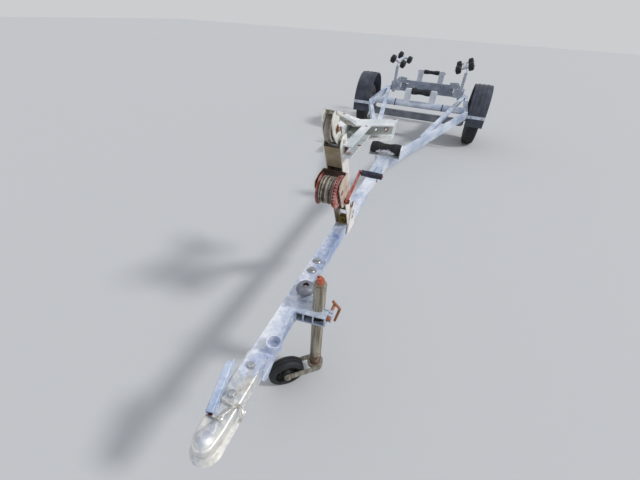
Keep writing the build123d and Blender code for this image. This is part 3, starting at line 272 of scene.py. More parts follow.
def bent_rod(name, points, radius_mm):
    """Round rod along smooth corners: a curve drawn by points in metres, made a mesh."""
    curve = bpy.data.curves.new(name, "CURVE")
    curve.dimensions = "3D"
    curve.bevel_depth = radius_mm * MM
    curve.bevel_resolution = 3
    curve.use_fill_caps = True
    spline = curve.splines.new("NURBS")
    spline.points.add(len(points) - 1)
    for point, place in zip(spline.points, points):
        point.co = (*place, 1)
    spline.order_u = 3
    spline.use_endpoint_u = True
    spline.resolution_u = 8
    holder = bpy.data.objects.new(name, curve)
    bpy.context.scene.collection.objects.link(holder)
    single(holder)
    bpy.ops.object.convert(target="MESH")
    return settle(bpy.context.object, 60)


# Colours and material nodes

RUST_SCALE = "#4a2a20"
RUST_POWDER = "#8c5334"
RUST_IN_HOLE = "#2a1c1b"
BOLT_END = "#b39a94"
CHIPPED_SCALE = "#2a1713"
# Painted shade in the grooves between the rope's strands
STRAND_GROOVE_SHADE = "#2b231d"

# A grain of the zinc's spangle and of the plastic's leather in millimetres, the leather about twice its real
# size so that it shows, and the rope's strands in one turn round the drum
ZINC_GRAIN = 11.0
LEATHER_GRAIN = 2.5
STRANDS_IN_TURN = 44.0

# The middle of the painted highlight on the front keel roller: x, station and height in millimetres
HIGHLIGHT_PLACE = (10, 2163, 481)


def linear(colour):
    """An sRGB hex value as linear RGBA."""
    values = [int(colour[i:i + 2], 16) / 255 for i in (1, 3, 5)]
    return [v / 12.92 if v <= 0.04045 else ((v + 0.055) / 1.055) ** 2.4 for v in values] + [1.0]


def put(tree, kind, inputs=None, **settings):
    """Adds a node with its settings, and fills or links its inputs."""
    made = tree.nodes.new(kind)
    for key, value in settings.items():
        setattr(made, key, value)
    for socket, value in (inputs or {}).items():
        if isinstance(value, bpy.types.NodeSocket):
            tree.links.new(value, made.inputs[socket])
        else:
            made.inputs[socket].default_value = value
    return made


def blank(name):
    material = bpy.data.materials.new(name)
    material.use_nodes = True
    tree = material.node_tree
    tree.nodes.clear()
    shader = put(tree, "ShaderNodeBsdfPrincipled")
    out = put(tree, "ShaderNodeOutputMaterial")
    tree.links.new(shader.outputs[0], out.inputs[0])
    place = put(tree, "ShaderNodeTexCoord").outputs["Object"]
    return material, tree, shader, place


def noise(tree, place, size_mm, detail=4.0, roughness=0.55):
    """Noise whose blotches are about size_mm across."""
    return put(tree, "ShaderNodeTexNoise", {"Vector": place, "Scale": 1000 / size_mm, "Detail": detail,
                                            "Roughness": roughness}).outputs[0]


def span(tree, value, low, high, to_low=0.0, to_high=1.0):
    """Maps low..high onto to_low..to_high and stops there."""
    return put(tree, "ShaderNodeMapRange", {0: value, 1: low, 2: high, 3: to_low, 4: to_high}).outputs[0]


def mix(tree, share, first, second):
    """Colour first where share is 0 and second where it is 1."""
    return put(tree, "ShaderNodeMix", {0: share, 6: first, 7: second}, data_type="RGBA").outputs[2]


def combine(tree, first, second, operation="MULTIPLY"):
    """One number made of two; a sum stops at 1, so that patterns can be laid over each other."""
    clamp = operation == "ADD"
    return put(tree, "ShaderNodeMath", {0: first, 1: second}, operation=operation, use_clamp=clamp).outputs[0]


def near(tree, place, centre, reach_mm, weigh=(1, 1, 1)):
    """1 close to a point of the trailer, falling to 0 at reach_mm from it; an axis with a low weight reaches
    further."""
    apart = put(tree, "ShaderNodeVectorMath", {0: place, 1: row(*centre)}, operation="SUBTRACT").outputs[0]
    apart = put(tree, "ShaderNodeVectorMath", {0: apart, 1: weigh}, operation="MULTIPLY").outputs[0]
    length = put(tree, "ShaderNodeVectorMath", {0: apart}, operation="LENGTH").outputs["Value"]
    return span(tree, length, reach_mm * MM, reach_mm * MM * 0.25)


def inside(tree, place, centre, half, turn=0):
    """1 within a box and its mirror image across the trailer's middle line: the box's centre and half its
    sizes in millimetres, and its turn about the upright in degrees."""
    x, y, z = put(tree, "ShaderNodeSeparateXYZ", {0: place}).outputs
    out = put(tree, "ShaderNodeMath", {0: x}, operation="ABSOLUTE").outputs[0]
    either = put(tree, "ShaderNodeCombineXYZ", {0: out, 1: y, 2: z}).outputs[0]
    values = {"Vector": either, "Location": row(*centre), "Rotation": (0, 0, math.radians(turn)),
              "Scale": [size * MM for size in half]}
    local = put(tree, "ShaderNodeMapping", values, vector_type="TEXTURE").outputs[0]
    reach = put(tree, "ShaderNodeVectorMath", {0: local}, operation="ABSOLUTE").outputs[0]
    x, y, z = put(tree, "ShaderNodeSeparateXYZ", {0: reach}).outputs
    most = combine(tree, combine(tree, x, y, "MAXIMUM"), z, "MAXIMUM")
    return combine(tree, most, 1.0, "LESS_THAN")


def stretched(tree, place, scale):
    """The place scaled along each axis, so that a pattern runs long where the scale is small."""
    return put(tree, "ShaderNodeMapping", {"Vector": place, "Scale": scale}).outputs[0]


def bump(tree, shader, height, depth_mm, strength=1.0):
    made = put(tree, "ShaderNodeBump", {"Height": height, "Strength": strength, "Distance": depth_mm * MM})
    tree.links.new(made.outputs[0], shader.inputs["Normal"])


def galvanised(name, pale="#dfe5ef", dark="#9dacc6", soil="#a39880", rust=0.0, dirt=0.0, marks=(), core="",
               boxes=(), metallic=0.4, rough=0.4, core_share=0.9):
    """Hot-dip galvanised steel: zinc spangle of 6 to 12 mm grains under cloudy white bloom, rust freckles,
    patches of dry soil and deeper rust round the marks, (x, station, height, reach) in millimetres. A blue
    dark tone is a painted sky reflection. The tone given for the boxes colours what lies in them: painted
    shade in the clamp's windows and the yoke's channels, tan dirt with painted shade on the post's front, a
    darker brown in the winch frame's middle and dark seams on the sleeve."""
    material, tree, shader, place = blank(name)
    cells = put(tree, "ShaderNodeTexVoronoi", {"Vector": place, "Scale": 1000 / ZINC_GRAIN})
    grain = put(tree, "ShaderNodeSeparateColor", {0: cells.outputs["Color"]}).outputs[0]
    cloud = span(tree, noise(tree, stretched(tree, place, (1, 0.45, 1)), 130), 0.36, 0.64)
    shade = span(tree, combine(tree, combine(tree, grain, 0.32), combine(tree, cloud, 0.8), "ADD"), 0.0, 1.0)
    # a blue dark tone stands for the sky's reflection, painted into the zinc's colour
    colour = mix(tree, shade, linear(dark), linear(pale))
    if dirt:
        patch = span(tree, noise(tree, place, 80, 7, 0.62), 0.68 - 0.3 * dirt, 0.80 - 0.14 * dirt, 0.0, 0.8)
        colour = mix(tree, patch, colour, linear(soil))
    # the boxes take the given tone, broken by noise: painted shade in windows and channels, dirt with painted
    # shade on the post's front, dark seams
    for box in boxes:
        clean = span(tree, noise(tree, place, 40, 7), 0.4, 0.9, 0.0, 4 * (1 - core_share))
        dirt_and_shade = mix(tree, clean, linear(core), colour)
        colour = mix(tree, combine(tree, inside(tree, place, *box), core_share), colour, dirt_and_shade)
    spots = span(tree, noise(tree, place, 26, 9, 0.66), 0.76 - 0.2 * rust, 0.80 - 0.2 * rust)
    edge = noise(tree, place, 11, 7, 0.7)
    for x, station, z, reach in marks:
        ring = combine(tree, near(tree, place, (x, station, z), reach), edge)
        spots = combine(tree, spots, span(tree, ring, 0.16, 0.34), "ADD")
    tone = mix(tree, span(tree, noise(tree, place, 8), 0.35, 0.65), linear(RUST_SCALE), linear(RUST_POWDER))
    colour = mix(tree, spots, colour, tone)
    tree.links.new(colour, shader.inputs["Base Color"])
    tree.links.new(span(tree, spots, 0.0, 1.0, metallic, 0.0), shader.inputs["Metallic"])
    gloss = span(tree, combine(tree, grain, spots, "ADD"), 0.0, 1.0, rough - 0.08, rough + 0.22)
    tree.links.new(gloss, shader.inputs["Roughness"])
    bump(tree, shader, noise(tree, place, 7, 5), 0.35, 0.5)
    return material


def streaked_zinc(name, pale="#b9b3a3", dark="#7d7464", foot="#6a4630", foot_low=0.095, foot_high=0.17):
    """Zinc-plated tube gone tan, in streaks that run down it, its foot brown with rust between two heights in
    metres."""
    material, tree, shader, place = blank(name)
    streak = noise(tree, stretched(tree, place, (1, 1, 0.06)), 9, 5, 0.6)
    colour = mix(tree, span(tree, streak, 0.38, 0.62), linear(dark), linear(pale))
    height = put(tree, "ShaderNodeSeparateXYZ", {0: place}).outputs[2]
    low = span(tree, height, foot_high, foot_low)
    patch = span(tree, combine(tree, low, noise(tree, place, 14, 7)), 0.22, 0.42)
    speck = span(tree, noise(tree, place, 20, 9, 0.66), 0.64, 0.68)
    rust = combine(tree, patch, speck, "ADD")
    tree.links.new(mix(tree, rust, colour, linear(foot)), shader.inputs["Base Color"])
    tree.links.new(span(tree, rust, 0.0, 1.0, 0.45, 0.0), shader.inputs["Metallic"])
    tree.links.new(span(tree, rust, 0.0, 1.0, 0.42, 0.8), shader.inputs["Roughness"])
    bump(tree, shader, noise(tree, place, 5, 6), 0.25, 0.5)
    return material


def rusty(name, light="#93563a", dark="#44261c"):
    """Bare steel left to rust: dark brown scale with orange powder in patches of about 12 mm."""
    material, tree, shader, place = blank(name)
    colour = mix(tree, span(tree, noise(tree, place, 16, 8, 0.65), 0.36, 0.66), linear(dark), linear(light))
    tree.links.new(colour, shader.inputs["Base Color"])
    shader.inputs["Metallic"].default_value = 0.15
    shader.inputs["Roughness"].default_value = 0.82
    bump(tree, shader, noise(tree, place, 4, 8, 0.7), 0.6)
    return material


def worn_paint(name, paint="#93392f", under="#4d2a22", chalk="#b98d84", chip=0.5):
    """Old brushed enamel on steel, chipped to rust in flakes of about 10 mm and chalky on top."""
    material, tree, shader, place = blank(name)
    chips = span(tree, noise(tree, place, 18, 9, 0.68), chip, chip + 0.05)
    top = mix(tree, span(tree, noise(tree, place, 40, 6), 0.42, 0.7, 0.0, 0.6), linear(paint), linear(chalk))
    under_tone = mix(tree, noise(tree, place, 6), linear(CHIPPED_SCALE), linear(under))
    tree.links.new(mix(tree, chips, top, under_tone), shader.inputs["Base Color"])
    tree.links.new(span(tree, chips, 0.0, 1.0, 0.5, 0.85), shader.inputs["Roughness"])
    bump(tree, shader, combine(tree, chips, -1.0), 0.25)
    return material


def rubber(name, tone="#191a1c", dust="#5c584e", amount=0.25, painted_highlight=""):
    """Moulded black rubber, matt, with dry dust in its dull patches; the pale colour given for the front keel
    roller paints a highlight that runs along its middle."""
    material, tree, shader, place = blank(name)
    patch = span(tree, noise(tree, place, 45, 7, 0.6), 0.45, 0.75, 0.0, amount)
    colour = mix(tree, patch, linear(tone), linear(dust))
    # a pale streak along the front keel roller, a painted highlight
    if painted_highlight:
        lit_streak = near(tree, place, HIGHLIGHT_PLACE, 60, (0.42, 1, 1))
        streak = noise(tree, stretched(tree, place, (0.5, 1, 1.6)), 16, 6, 0.6)
        colour = mix(tree, span(tree, combine(tree, lit_streak, streak), 0.30, 0.36), colour, linear(painted_highlight))
    tree.links.new(colour, shader.inputs["Base Color"])
    shader.inputs["Roughness"].default_value = 0.68
    bump(tree, shader, noise(tree, place, 3.5, 3), 0.12, 0.6)
    return material


def twisted_rope(name, pale="#a39b8c", dark="#54463a"):
    """Laid polyester rope, weathered grey in some turns and muddy brown in others, its strands about 7 mm
    apart, with painted shade in the grooves between them."""
    material, tree, shader, place = blank(name)
    across = put(tree, "ShaderNodeSeparateXYZ", {0: place}).outputs[0]
    turn = put(tree, "ShaderNodeTexNoise", {"W": combine(tree, across, 150.0), "Scale": 1.0, "Detail": 1.0},
               noise_dimensions="1D").outputs[0]
    grime = noise(tree, place, 30, 6)
    share = span(tree, combine(tree, turn, combine(tree, grime, 0.5), "ADD"), 0.66, 0.84)
    around_drum, around_rope, _ = put(tree, "ShaderNodeSeparateXYZ",
                                      {0: put(tree, "ShaderNodeTexCoord").outputs["UV"]}).outputs
    along = combine(tree, around_drum, STRANDS_IN_TURN * math.tau)
    twist = combine(tree, along, combine(tree, around_rope, math.tau), "SUBTRACT")
    strand = put(tree, "ShaderNodeMath", {0: twist}, operation="SINE").outputs[0]
    # painted shade in the grooves between the strands
    shade = span(tree, strand, -1.0, 0.2, 0.3, 0.0)
    colour = mix(tree, shade, mix(tree, share, linear(dark), linear(pale)), linear(STRAND_GROOVE_SHADE))
    tree.links.new(colour, shader.inputs["Base Color"])
    shader.inputs["Roughness"].default_value = 0.88
    bump(tree, shader, strand, 0.6, 0.5)
    return material


def grained_plastic(name, tone="#30374a", dust="#82878f"):
    """Polypropylene with a moulded leather grain, greyed by sun and dust and scratched along."""
    material, tree, shader, place = blank(name)
    patch = span(tree, noise(tree, place, 140, 7, 0.6), 0.42, 0.78, 0.05, 0.55)
    scratch = span(tree, noise(tree, stretched(tree, place, (1, 0.12, 0.3)), 5, 4), 0.62, 0.7, 0.0, 0.3)
    share = combine(tree, patch, scratch, "ADD")
    tree.links.new(mix(tree, share, linear(tone), linear(dust)), shader.inputs["Base Color"])
    shader.inputs["Roughness"].default_value = 0.5
    grain = put(tree, "ShaderNodeTexVoronoi", {"Vector": place, "Scale": 1000 / LEATHER_GRAIN}).outputs[0]
    bump(tree, shader, grain, 0.15, 0.7)
    return material


def metal(name, tone, other, metallic=0.9, rough=0.4, blotch_mm=25, hole=()):
    """Plain metal in two tones that run into each other in patches of blotch_mm; rust lines an upright hole
    and leaves the bolt's end in it pale."""
    material, tree, shader, place = blank(name)
    colour = mix(tree, span(tree, noise(tree, place, blotch_mm, 7), 0.35, 0.68), linear(tone), linear(other))
    if hole:
        lip = span(tree, near(tree, place, hole, 17, (1, 1, 0)), 0.4, 0.52)
        colour = mix(tree, lip, colour, linear(RUST_IN_HOLE))
        stud = span(tree, near(tree, place, hole, 9, (1, 1, 0)), 0.1, 0.4)
        colour = mix(tree, stud, colour, linear(BOLT_END))
    tree.links.new(colour, shader.inputs["Base Color"])
    shader.inputs["Metallic"].default_value = metallic
    gloss = span(tree, noise(tree, place, 12), 0.3, 0.7, rough - 0.08, rough + 0.12)
    tree.links.new(gloss, shader.inputs["Roughness"])
    bump(tree, shader, noise(tree, place, 5), 0.15, 0.5)
    return material


# Faces of the frame that small parts sit on, read from the solids, in millimetres
BAR_LOW, BAR_TOP = extent("drawbar")[2]
STRAP_FRONT, STRAP_REAR = extent("guard_straps")[1]
STRAP_Z = sum(extent("guard_straps")[2]) / 2
BEAM_FRONT = extent("roller_beam")[1][0]

# Stations of the two bolts whose heads sit on cup washers, and the place of the domed cap's rim
CUP_STATIONS = (735, 800.6)
CAP_PLACE = (29.1, 610, 475)

# Boxes that a finish colours with its given tone, centre (x, station, height) and half sizes in millimetres,
# and turn
# about the upright in degrees: painted shade in the clamp's windows and the yoke's channels, tan dirt with
# painted shade on the post's front, a darker brown in the winch frame's middle, and dark seams on the sleeve
POST_FACE_DIRT_AND_SHADE = (((0, 1100, 700), (31.5, 900, 900), 0),)
TRAY_INSIDE = (((0, 950, 700), (46, 900, 900), 0),)
CLAMP_WINDOW_SHADE = (((86, 560, 431), (54, 40, 19.6), 7.4),)
YOKE_CHANNEL_SHADE = (((78, 1233.5, 923.5), (95, 27, 27.2), 31.5), ((52.2, 1045, 933), (13.8, 150, 17.6), 0))
SLEEVE_SEAMS = (((0, 1960, 470), (1.8, 126, 60), 0), ((0, 1833, 440), (60, 2.2, 60), 0))

# Where rust has come through the zinc: (x, station, height, reach) in millimetres
HINGE_RUST = ((-28, 104, 468, 26), (-14, 128, 474, 16), (4, 112, 468, 9))
BOW_RUST = ((62, 1040, 915, 14), (50, 932, 930, 34), (78, 1264, 918, 15), (119, 1289, 918, 17),
            (17, 866, 1017, 26), (12, 915, 968, 16), (140, 1340, 948, 18), (52, 1168, 955, 12),
            (150, 1250, 900, 12), (-96, 1300, 955, 16))
BOLT_RUST = [(0, station, BAR_TOP, 30) for station in CUP_STATIONS]
POST_RUST = ((40, 1185, 478, 18), (40, 1201, 498, 18), (40, 1189, 510, 18), (40, 1205, 524, 18),
             (36, 1150, 575, 34), (0, 1000, 840, 30))
TRAY_RUST = ((55, 880, 772, 20), (55, 934, 707, 22), (0, 1010, 830, 40))

FINISHES = {
    # The blue dark tones of the frame, sleeve, drawbar, clamp, handle and coupling zinc are painted sky
    # reflection
    "frame_zinc": (galvanised, dict(rust=0.12, dirt=0.2)),
    "drawbar_zinc": (galvanised, dict(pale="#eef0f4", dark="#7c95c4", rust=0.16, dirt=0.24, marks=BOLT_RUST)),
    "sleeve_zinc": (galvanised, dict(rust=0.12, dirt=0.2, core="#33363d", boxes=SLEEVE_SEAMS)),
    # near-black painted shade inside the clamp's windows
    "clamp_zinc": (galvanised, dict(pale="#d6dde8", dark="#7a8ca8", rust=0.2, dirt=0.2, core="#101112",
                                    boxes=CLAMP_WINDOW_SHADE, core_share=1.0)),
    "handle_zinc": (galvanised, dict(pale="#ccd6e6", dark="#8196bb", rust=0.2, dirt=0.15)),
    # tan on the post's front face: dirt, darkened further by painted shade
    "post_zinc": (galvanised, dict(pale="#f0ece6", dark="#d8d1ca", soil="#94897a", rust=0.2, dirt=0.16,
                                   marks=POST_RUST, core="#85724b", boxes=POST_FACE_DIRT_AND_SHADE, metallic=0.2)),
    "winch_zinc": (galvanised, dict(pale="#e2d2c1", dark="#b59e89", soil="#8a6b58", rust=0.3, dirt=0.6,
                                    marks=TRAY_RUST, core="#5f4339", boxes=TRAY_INSIDE)),
    "bracket_zinc": (galvanised, dict(pale="#eceef2", dark="#c6cdd7", rust=0.1, metallic=0.25)),
    "dull_zinc": (galvanised, dict(pale="#a9b0bf", dark="#737b8a", soil="#7a7367", rust=0.2, dirt=0.2)),
    "axle_zinc": (galvanised, dict(pale="#83878f", dark="#5d6168", soil="#77705f", rust=0.25, dirt=0.35)),
    "upright_zinc": (galvanised, dict(pale="#d3d8e1", dark="#9aa3b2", rust=0.15, dirt=0.15)),
    "head_zinc": (galvanised, dict(pale="#eceadf", dark="#b9c3cc", soil="#c2b795", rust=0.24, dirt=0.45,
                                   marks=BOW_RUST)),
    "pulley_zinc": (galvanised, dict(pale="#b3aaa2", dark="#746b66", soil="#7c7266", rust=0.3, dirt=0.4)),
    # grey-green painted shade inside the yoke's channels and legs
    "yoke_zinc": (galvanised, dict(pale="#f4f4f2", dark="#c3cdd3", soil="#8f9485", rust=0.12, dirt=0.3,
                                   marks=BOW_RUST, core="#888e86", boxes=YOKE_CHANNEL_SHADE, core_share=0.85)),
    "coupling_zinc": (galvanised, dict(pale="#e9e6de", dark="#7890b8", soil="#b3ab9a", rust=0.1, dirt=0.4,
                                       marks=HINGE_RUST, metallic=0.5, rough=0.34)),
    "bolt_zinc": (galvanised, dict(pale="#c3c5c9", dark="#83868c", soil="#7f7566", rust=0.3, dirt=0.3,
                                   metallic=0.5)),
    "wire_zinc": (metal, dict(tone="#f4f4f1", other="#a49c8f", metallic=0.7, rough=0.25, blotch_mm=14)),
    "jockey_zinc": (streaked_zinc, dict(pale="#b4ae9d", dark="#736b5c", foot="#5d4632", foot_high=0.27)),
    "inner_zinc": (streaked_zinc, dict(pale="#8f897a", dark="#5f594c")),
    "fork_zinc": (streaked_zinc, dict(pale="#a8a395", dark="#767063", foot="#5c4433", foot_low=0.02,
                                      foot_high=0.10)),
    "rusty_steel": (rusty, dict()),
    "gear_steel": (rusty, dict(light="#7d4e3a", dark="#3b2620")),
    "red_enamel": (worn_paint, dict(paint="#94473f", chalk="#d3b3aa", chip=0.57)),
    "crank_enamel": (worn_paint, dict(paint="#a13a30", chip=0.58)),
    "crown_enamel": (worn_paint, dict(paint="#a85138", under="#6a3a2a", chalk="#c08a74", chip=0.56)),
    "cast_iron": (metal, dict(tone="#7c7d86", other="#5a5b61", metallic=0.35, rough=0.6)),
    "cap_iron": (metal, dict(tone="#878893", other="#6a6b76", metallic=0.3, rough=0.5, hole=CAP_PLACE)),
    "old_brass": (metal, dict(tone="#8f7a3c", other="#5f5228", rough=0.5)),
    "wheel_silver": (metal, dict(tone="#b9bcc0", other="#8d9195", metallic=0.8)),
    "winch_rope": (twisted_rope, dict(pale="#bcb6a8", dark="#4b3b30")),
    "roller_rubber": (rubber, dict(tone="#15181d", dust="#4c5058", amount=0.35)),
    # the near-white colour paints a highlight along the front keel roller
    "front_roller_rubber": (rubber, dict(tone="#101217", dust="#3d4047", amount=0.25, painted_highlight="#e4e6e8")),
    "grip_rubber": (rubber, dict(tone="#26273a", dust="#5d5e72", amount=0.6)),
    "ring_rubber": (rubber, dict(tone="#101113", amount=0.12)),
    "jockey_rubber": (rubber, dict(tone="#15171a", dust="#3d3e41", amount=0.35)),
    "tyre_rubber": (rubber, dict(tone="#131315", dust="#4a443d", amount=0.25)),
    "guard_plastic": (grained_plastic, dict(tone="#242a39", dust="#6f7580")),
}

DRESS = {
    "frame_zinc": "v_arm_right v_arm_left side_rails brace_struts cross_tube guard_straps",
    "sleeve_zinc": "drawbar_sleeve",
    "drawbar_zinc": "drawbar holder_tube",
    "clamp_zinc": "jockey_clamp",
    "coupling_zinc": "coupling_head",
    "handle_zinc": "coupling_handle",
    "bolt_zinc": "drawbar_bolts keel_pins",
    "wire_zinc": "coupling_catch",
    "post_zinc": "winch_post",
    "winch_zinc": "winch_frame",
    "head_zinc": "post_head",
    "pulley_zinc": "head_pulley",
    "yoke_zinc": "bow_yoke",
    "bracket_zinc": "keel_bracket_front keel_bracket_mid keel_bracket_rear",
    "dull_zinc": "rear_beam roller_beam tail_spine",
    "axle_zinc": "axle_beam axle_brackets trailing_arms",
    "upright_zinc": "roller_posts swing_bar_right swing_bar_left",
    "jockey_zinc": "jockey_tube",
    "inner_zinc": "jockey_inner",
    "fork_zinc": "jockey_fork",
    "rusty_steel": "clamp_handle",
    "gear_steel": "winch_pinion",
    "red_enamel": "winch_drum",
    "crank_enamel": "winch_crank",
    "crown_enamel": "jockey_crown",
    "cast_iron": "hub_right hub_left",
    "cap_iron": "domed_cap",
    "old_brass": "post_block",
    "winch_rope": "wound_rope",
    "front_roller_rubber": "keel_roller_front",
    "roller_rubber": "keel_roller_mid keel_roller_rear swing_rollers_front_right swing_rollers_back_right "
                     "swing_rollers_front_left swing_rollers_back_left",
    "grip_rubber": "crank_grip",
    "ring_rubber": "tube_rings",
    "jockey_rubber": "jockey_wheel",
    "tyre_rubber": "tyre_right tyre_left",
    "guard_plastic": "mudguards",
    "wheel_silver": "wheel_right wheel_left",
}


def finish(name):
    """The named finish, made once."""
    if name not in bpy.data.materials:
        maker, values = FINISHES[name]
        maker(name, **values)
    return bpy.data.materials[name]


class TrailerSizes(bpy.types.PropertyGroup):
    lens: FloatProperty(
        name="Camera lens", description="Focal length on a 36 mm wide sensor", default=16.6671, unit="CAMERA")
    floor_tone: FloatVectorProperty(
        name="Floor colour", description="Plain pale floor", default=(0.5, 0.503, 0.5), subtype="COLOR",
        size=3)
    background: FloatVectorProperty(
        name="Background colour", description="What the camera and reflections see beyond the floor",
        default=(0.60, 0.61, 0.62), subtype="COLOR", size=3)
    sky_strength: FloatProperty(
        name="Sky strength", description="Light of the soft dome", default=0.72)
    key_strength: FloatProperty(
        name="Key strength", description="Light of the soft sun", default=1.9)
    key_direction: FloatVectorProperty(
        name="Key direction", description="Way the sun's light travels", default=(-0.72, -0.12, -0.68),
        subtype="DIRECTION", size=3)
    groove_width: FloatProperty(
        name="Tread groove width", description="Width of each groove round the road tyres", default=0.006,
        unit="LENGTH")
    groove_depth: FloatProperty(
        name="Tread groove depth", description="Depth of each groove round the road tyres", default=0.006,
        unit="LENGTH")
    tyre_steps: IntProperty(
        name="Tyre steps", description="Faces round a road tyre", default=96)
    wheel_nuts: IntProperty(
        name="Wheel nuts", description="Nuts that hold each road wheel", default=4)
    nut_circle: FloatProperty(
        name="Nut circle", description="Distance of the wheel nuts from the hub's middle", default=0.05,
        unit="LENGTH")
    rope_radius: FloatProperty(
        name="Rope radius", description="Half the thickness of the winch rope", default=0.0042, unit="LENGTH")
    windows: IntProperty(
        name="Jockey wheel windows", description="Openings round the jockey wheel's centre", default=7)


# The photograph's viewpoint, in metres and degrees, fitted to the trailer's edges
CAMERA_PLACE = (0.34317, -2.91286, 1.33215)
CAMERA_TURN = (52.4712, -2.8046, 22.1526)

# Light of the dome at the horizon and well above it, and the sun's width in degrees, which softens its shadow
SKY_LOW = (0.62, 0.63, 0.64, 1)
SKY_HIGH = (0.93, 0.97, 1.06, 1)
SUN_WIDTH = 9


class TRAILER_OT_stage(bpy.types.Operator):
    """Sets the floor, the soft lights and the camera"""
    bl_idname = "trailer.stage"
    bl_label = "Stage and camera"

    def execute(self, context):
        sizes = context.scene.trailer_sizes
        floor = primitive("plane", "studio_floor", size=60, location=(0, 0, 0))
        material, _, shader, _ = blank("studio_floor")
        shader.inputs["Base Color"].default_value = (*sizes.floor_tone, 1)
        shader.inputs["Roughness"].default_value = 0.9
        floor.data.materials.append(material)
        world = bpy.data.worlds.new("studio")
        context.scene.world = world
        world.use_nodes = True
        dome = world.node_tree
        direction = put(dome, "ShaderNodeTexCoord").outputs["Generated"]
        up = put(dome, "ShaderNodeSeparateXYZ", {0: direction}).outputs[2]
        sky = mix(dome, span(dome, up, 0.0, 0.55), SKY_LOW, SKY_HIGH)
        rays = put(dome, "ShaderNodeLightPath").outputs
        mirrored = combine(dome, rays["Is Glossy Ray"], rays["Is Transmission Ray"], "ADD")
        seen = combine(dome, rays["Is Camera Ray"], mirrored, "ADD")
        colour, strength = dome.nodes["Background"].inputs[:2]
        dome.links.new(mix(dome, seen, sky, (*sizes.background, 1)), colour)
        dome.links.new(span(dome, seen, 0.0, 1.0, sizes.sky_strength, 1.0), strength)
        lamp = bpy.data.lights.new("key", "SUN")
        lamp.energy = sizes.key_strength
        lamp.angle = math.radians(SUN_WIDTH)
        key = bpy.data.objects.new("key", lamp)
        key.rotation_euler = Vector(sizes.key_direction).to_track_quat("-Z", "Y").to_euler()
        context.scene.collection.objects.link(key)
        lens = bpy.data.cameras.new("camera")
        lens.sensor_width = 36
        lens.lens = sizes.lens
        lens.clip_start = 0.02
        camera = bpy.data.objects.new("camera", lens)
        camera.location = CAMERA_PLACE
        camera.rotation_euler = [math.radians(angle) for angle in CAMERA_TURN]
        context.scene.collection.objects.link(camera)
        context.scene.camera = camera
        context.scene.view_settings.view_transform = "Standard"
        return {"FINISHED"}


class TRAILER_OT_dress(bpy.types.Operator):
    """Gives every carried-over steel, rubber and plastic piece its finish"""
    bl_idname = "trailer.dress"
    bl_label = "Finishes"

    def execute(self, context):
        for name, nodes in DRESS.items():
            for node in nodes.split():
                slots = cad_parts[node].data.materials
                slots.clear()
                slots.append(finish(name))
        return {"FINISHED"}


# Tread of the road tyres, in millimetres across the tread from its middle: where the grooves lie, between
# which distances a rib has sipes, and where the shoulder starts; every third face round the tyre is sunk
GROOVES = (-33, -11, 11, 33)
SIPED_RIB = (15, 29)
SHOULDER = 37
SIPE_EVERY = 3
SIPE_DEPTH = 4.0


class TRAILER_OT_tyres(bpy.types.Operator):
    """Road tyres: moulded sidewalls, four tread grooves, cross sipes and shoulder notches"""
    bl_idname = "trailer.tyres"
    bl_label = "Road tyres"

    def execute(self, context):
        sizes = context.scene.trailer_sizes
        half, r, rim = half_of("tyre_right", 0), half_of("tyre_right", 2), half_of("wheel_right", 2)
        groove, depth = sizes.groove_width / MM, sizes.groove_depth / MM
        side = [(-half + 24, rim), (-half + 12, rim), (-half + 9, rim + 6), (-half + 5, rim + 10),
                (-half + 3, rim + 20), (-half + 0.5, rim + 38), (-half, rim + 54), (-half + 1.4, rim + 56),
                (-half + 1.2, rim + 60), (-half + 0.6, rim + 62), (-half + 4, r - 30), (-half + 7, r - 20),
                (-half + 12, r - 11), (-half + 20, r - 5)]
        outline = list(side)
        for x in GROOVES:
            crown = r - x * x * 0.0022
            left, right, floor = x - groove / 2, x + groove / 2, crown - depth
            outline += [(left - 0.6, crown), (left, floor), (right, floor), (right + 0.6, crown)]
        outline += [(-x, radius) for x, radius in reversed(side)]
        outline += [(half - 14, rim + 50), (half - 30, r - 16), (-half + 30, r - 16), (-half + 14, rim + 50),
                    side[0]]
        tyre = lathe("tyre_master", outline, sizes.tyre_steps)
        step = 360 / sizes.tyre_steps

        def sipe(face):
            """Whether a face of the tread lies in a sipe or a shoulder notch."""
            middle = face.calc_center_median() / MM
            index = round(around(face) / step - 0.5)
            if math.hypot(middle.y, middle.z) < r - 9 or abs(face.normal.x) > 0.8:
                return False
            if abs(middle.x) > SHOULDER:
                return index % SIPE_EVERY == 0
            if SIPED_RIB[0] < abs(middle.x) < SIPED_RIB[1]:
                return (index + (middle.x > 0)) % SIPE_EVERY == 0
            return False

        sink(tyre, sipe, SIPE_DEPTH)
        settle(tyre, 32)
        for word in ("right", "left"):
            made = copy_at(tyre, f"road_tyre_{word}", Matrix.Translation(middle_of(f"tyre_{word}")))
            finish_piece(made, f"road_wheel_{word}", "tyre_rubber")
            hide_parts(f"tyre_{word}")
        drop(tyre)
        return {"FINISHED"}


# How far the wheel's face under the nuts and the valve's foot lie outside the wheel's middle plane, and how
# far the valve is from the hub's middle, in millimetres
NUT_FACE = 30
VALVE_FOOT = 14
VALVE_CIRCLE = 128


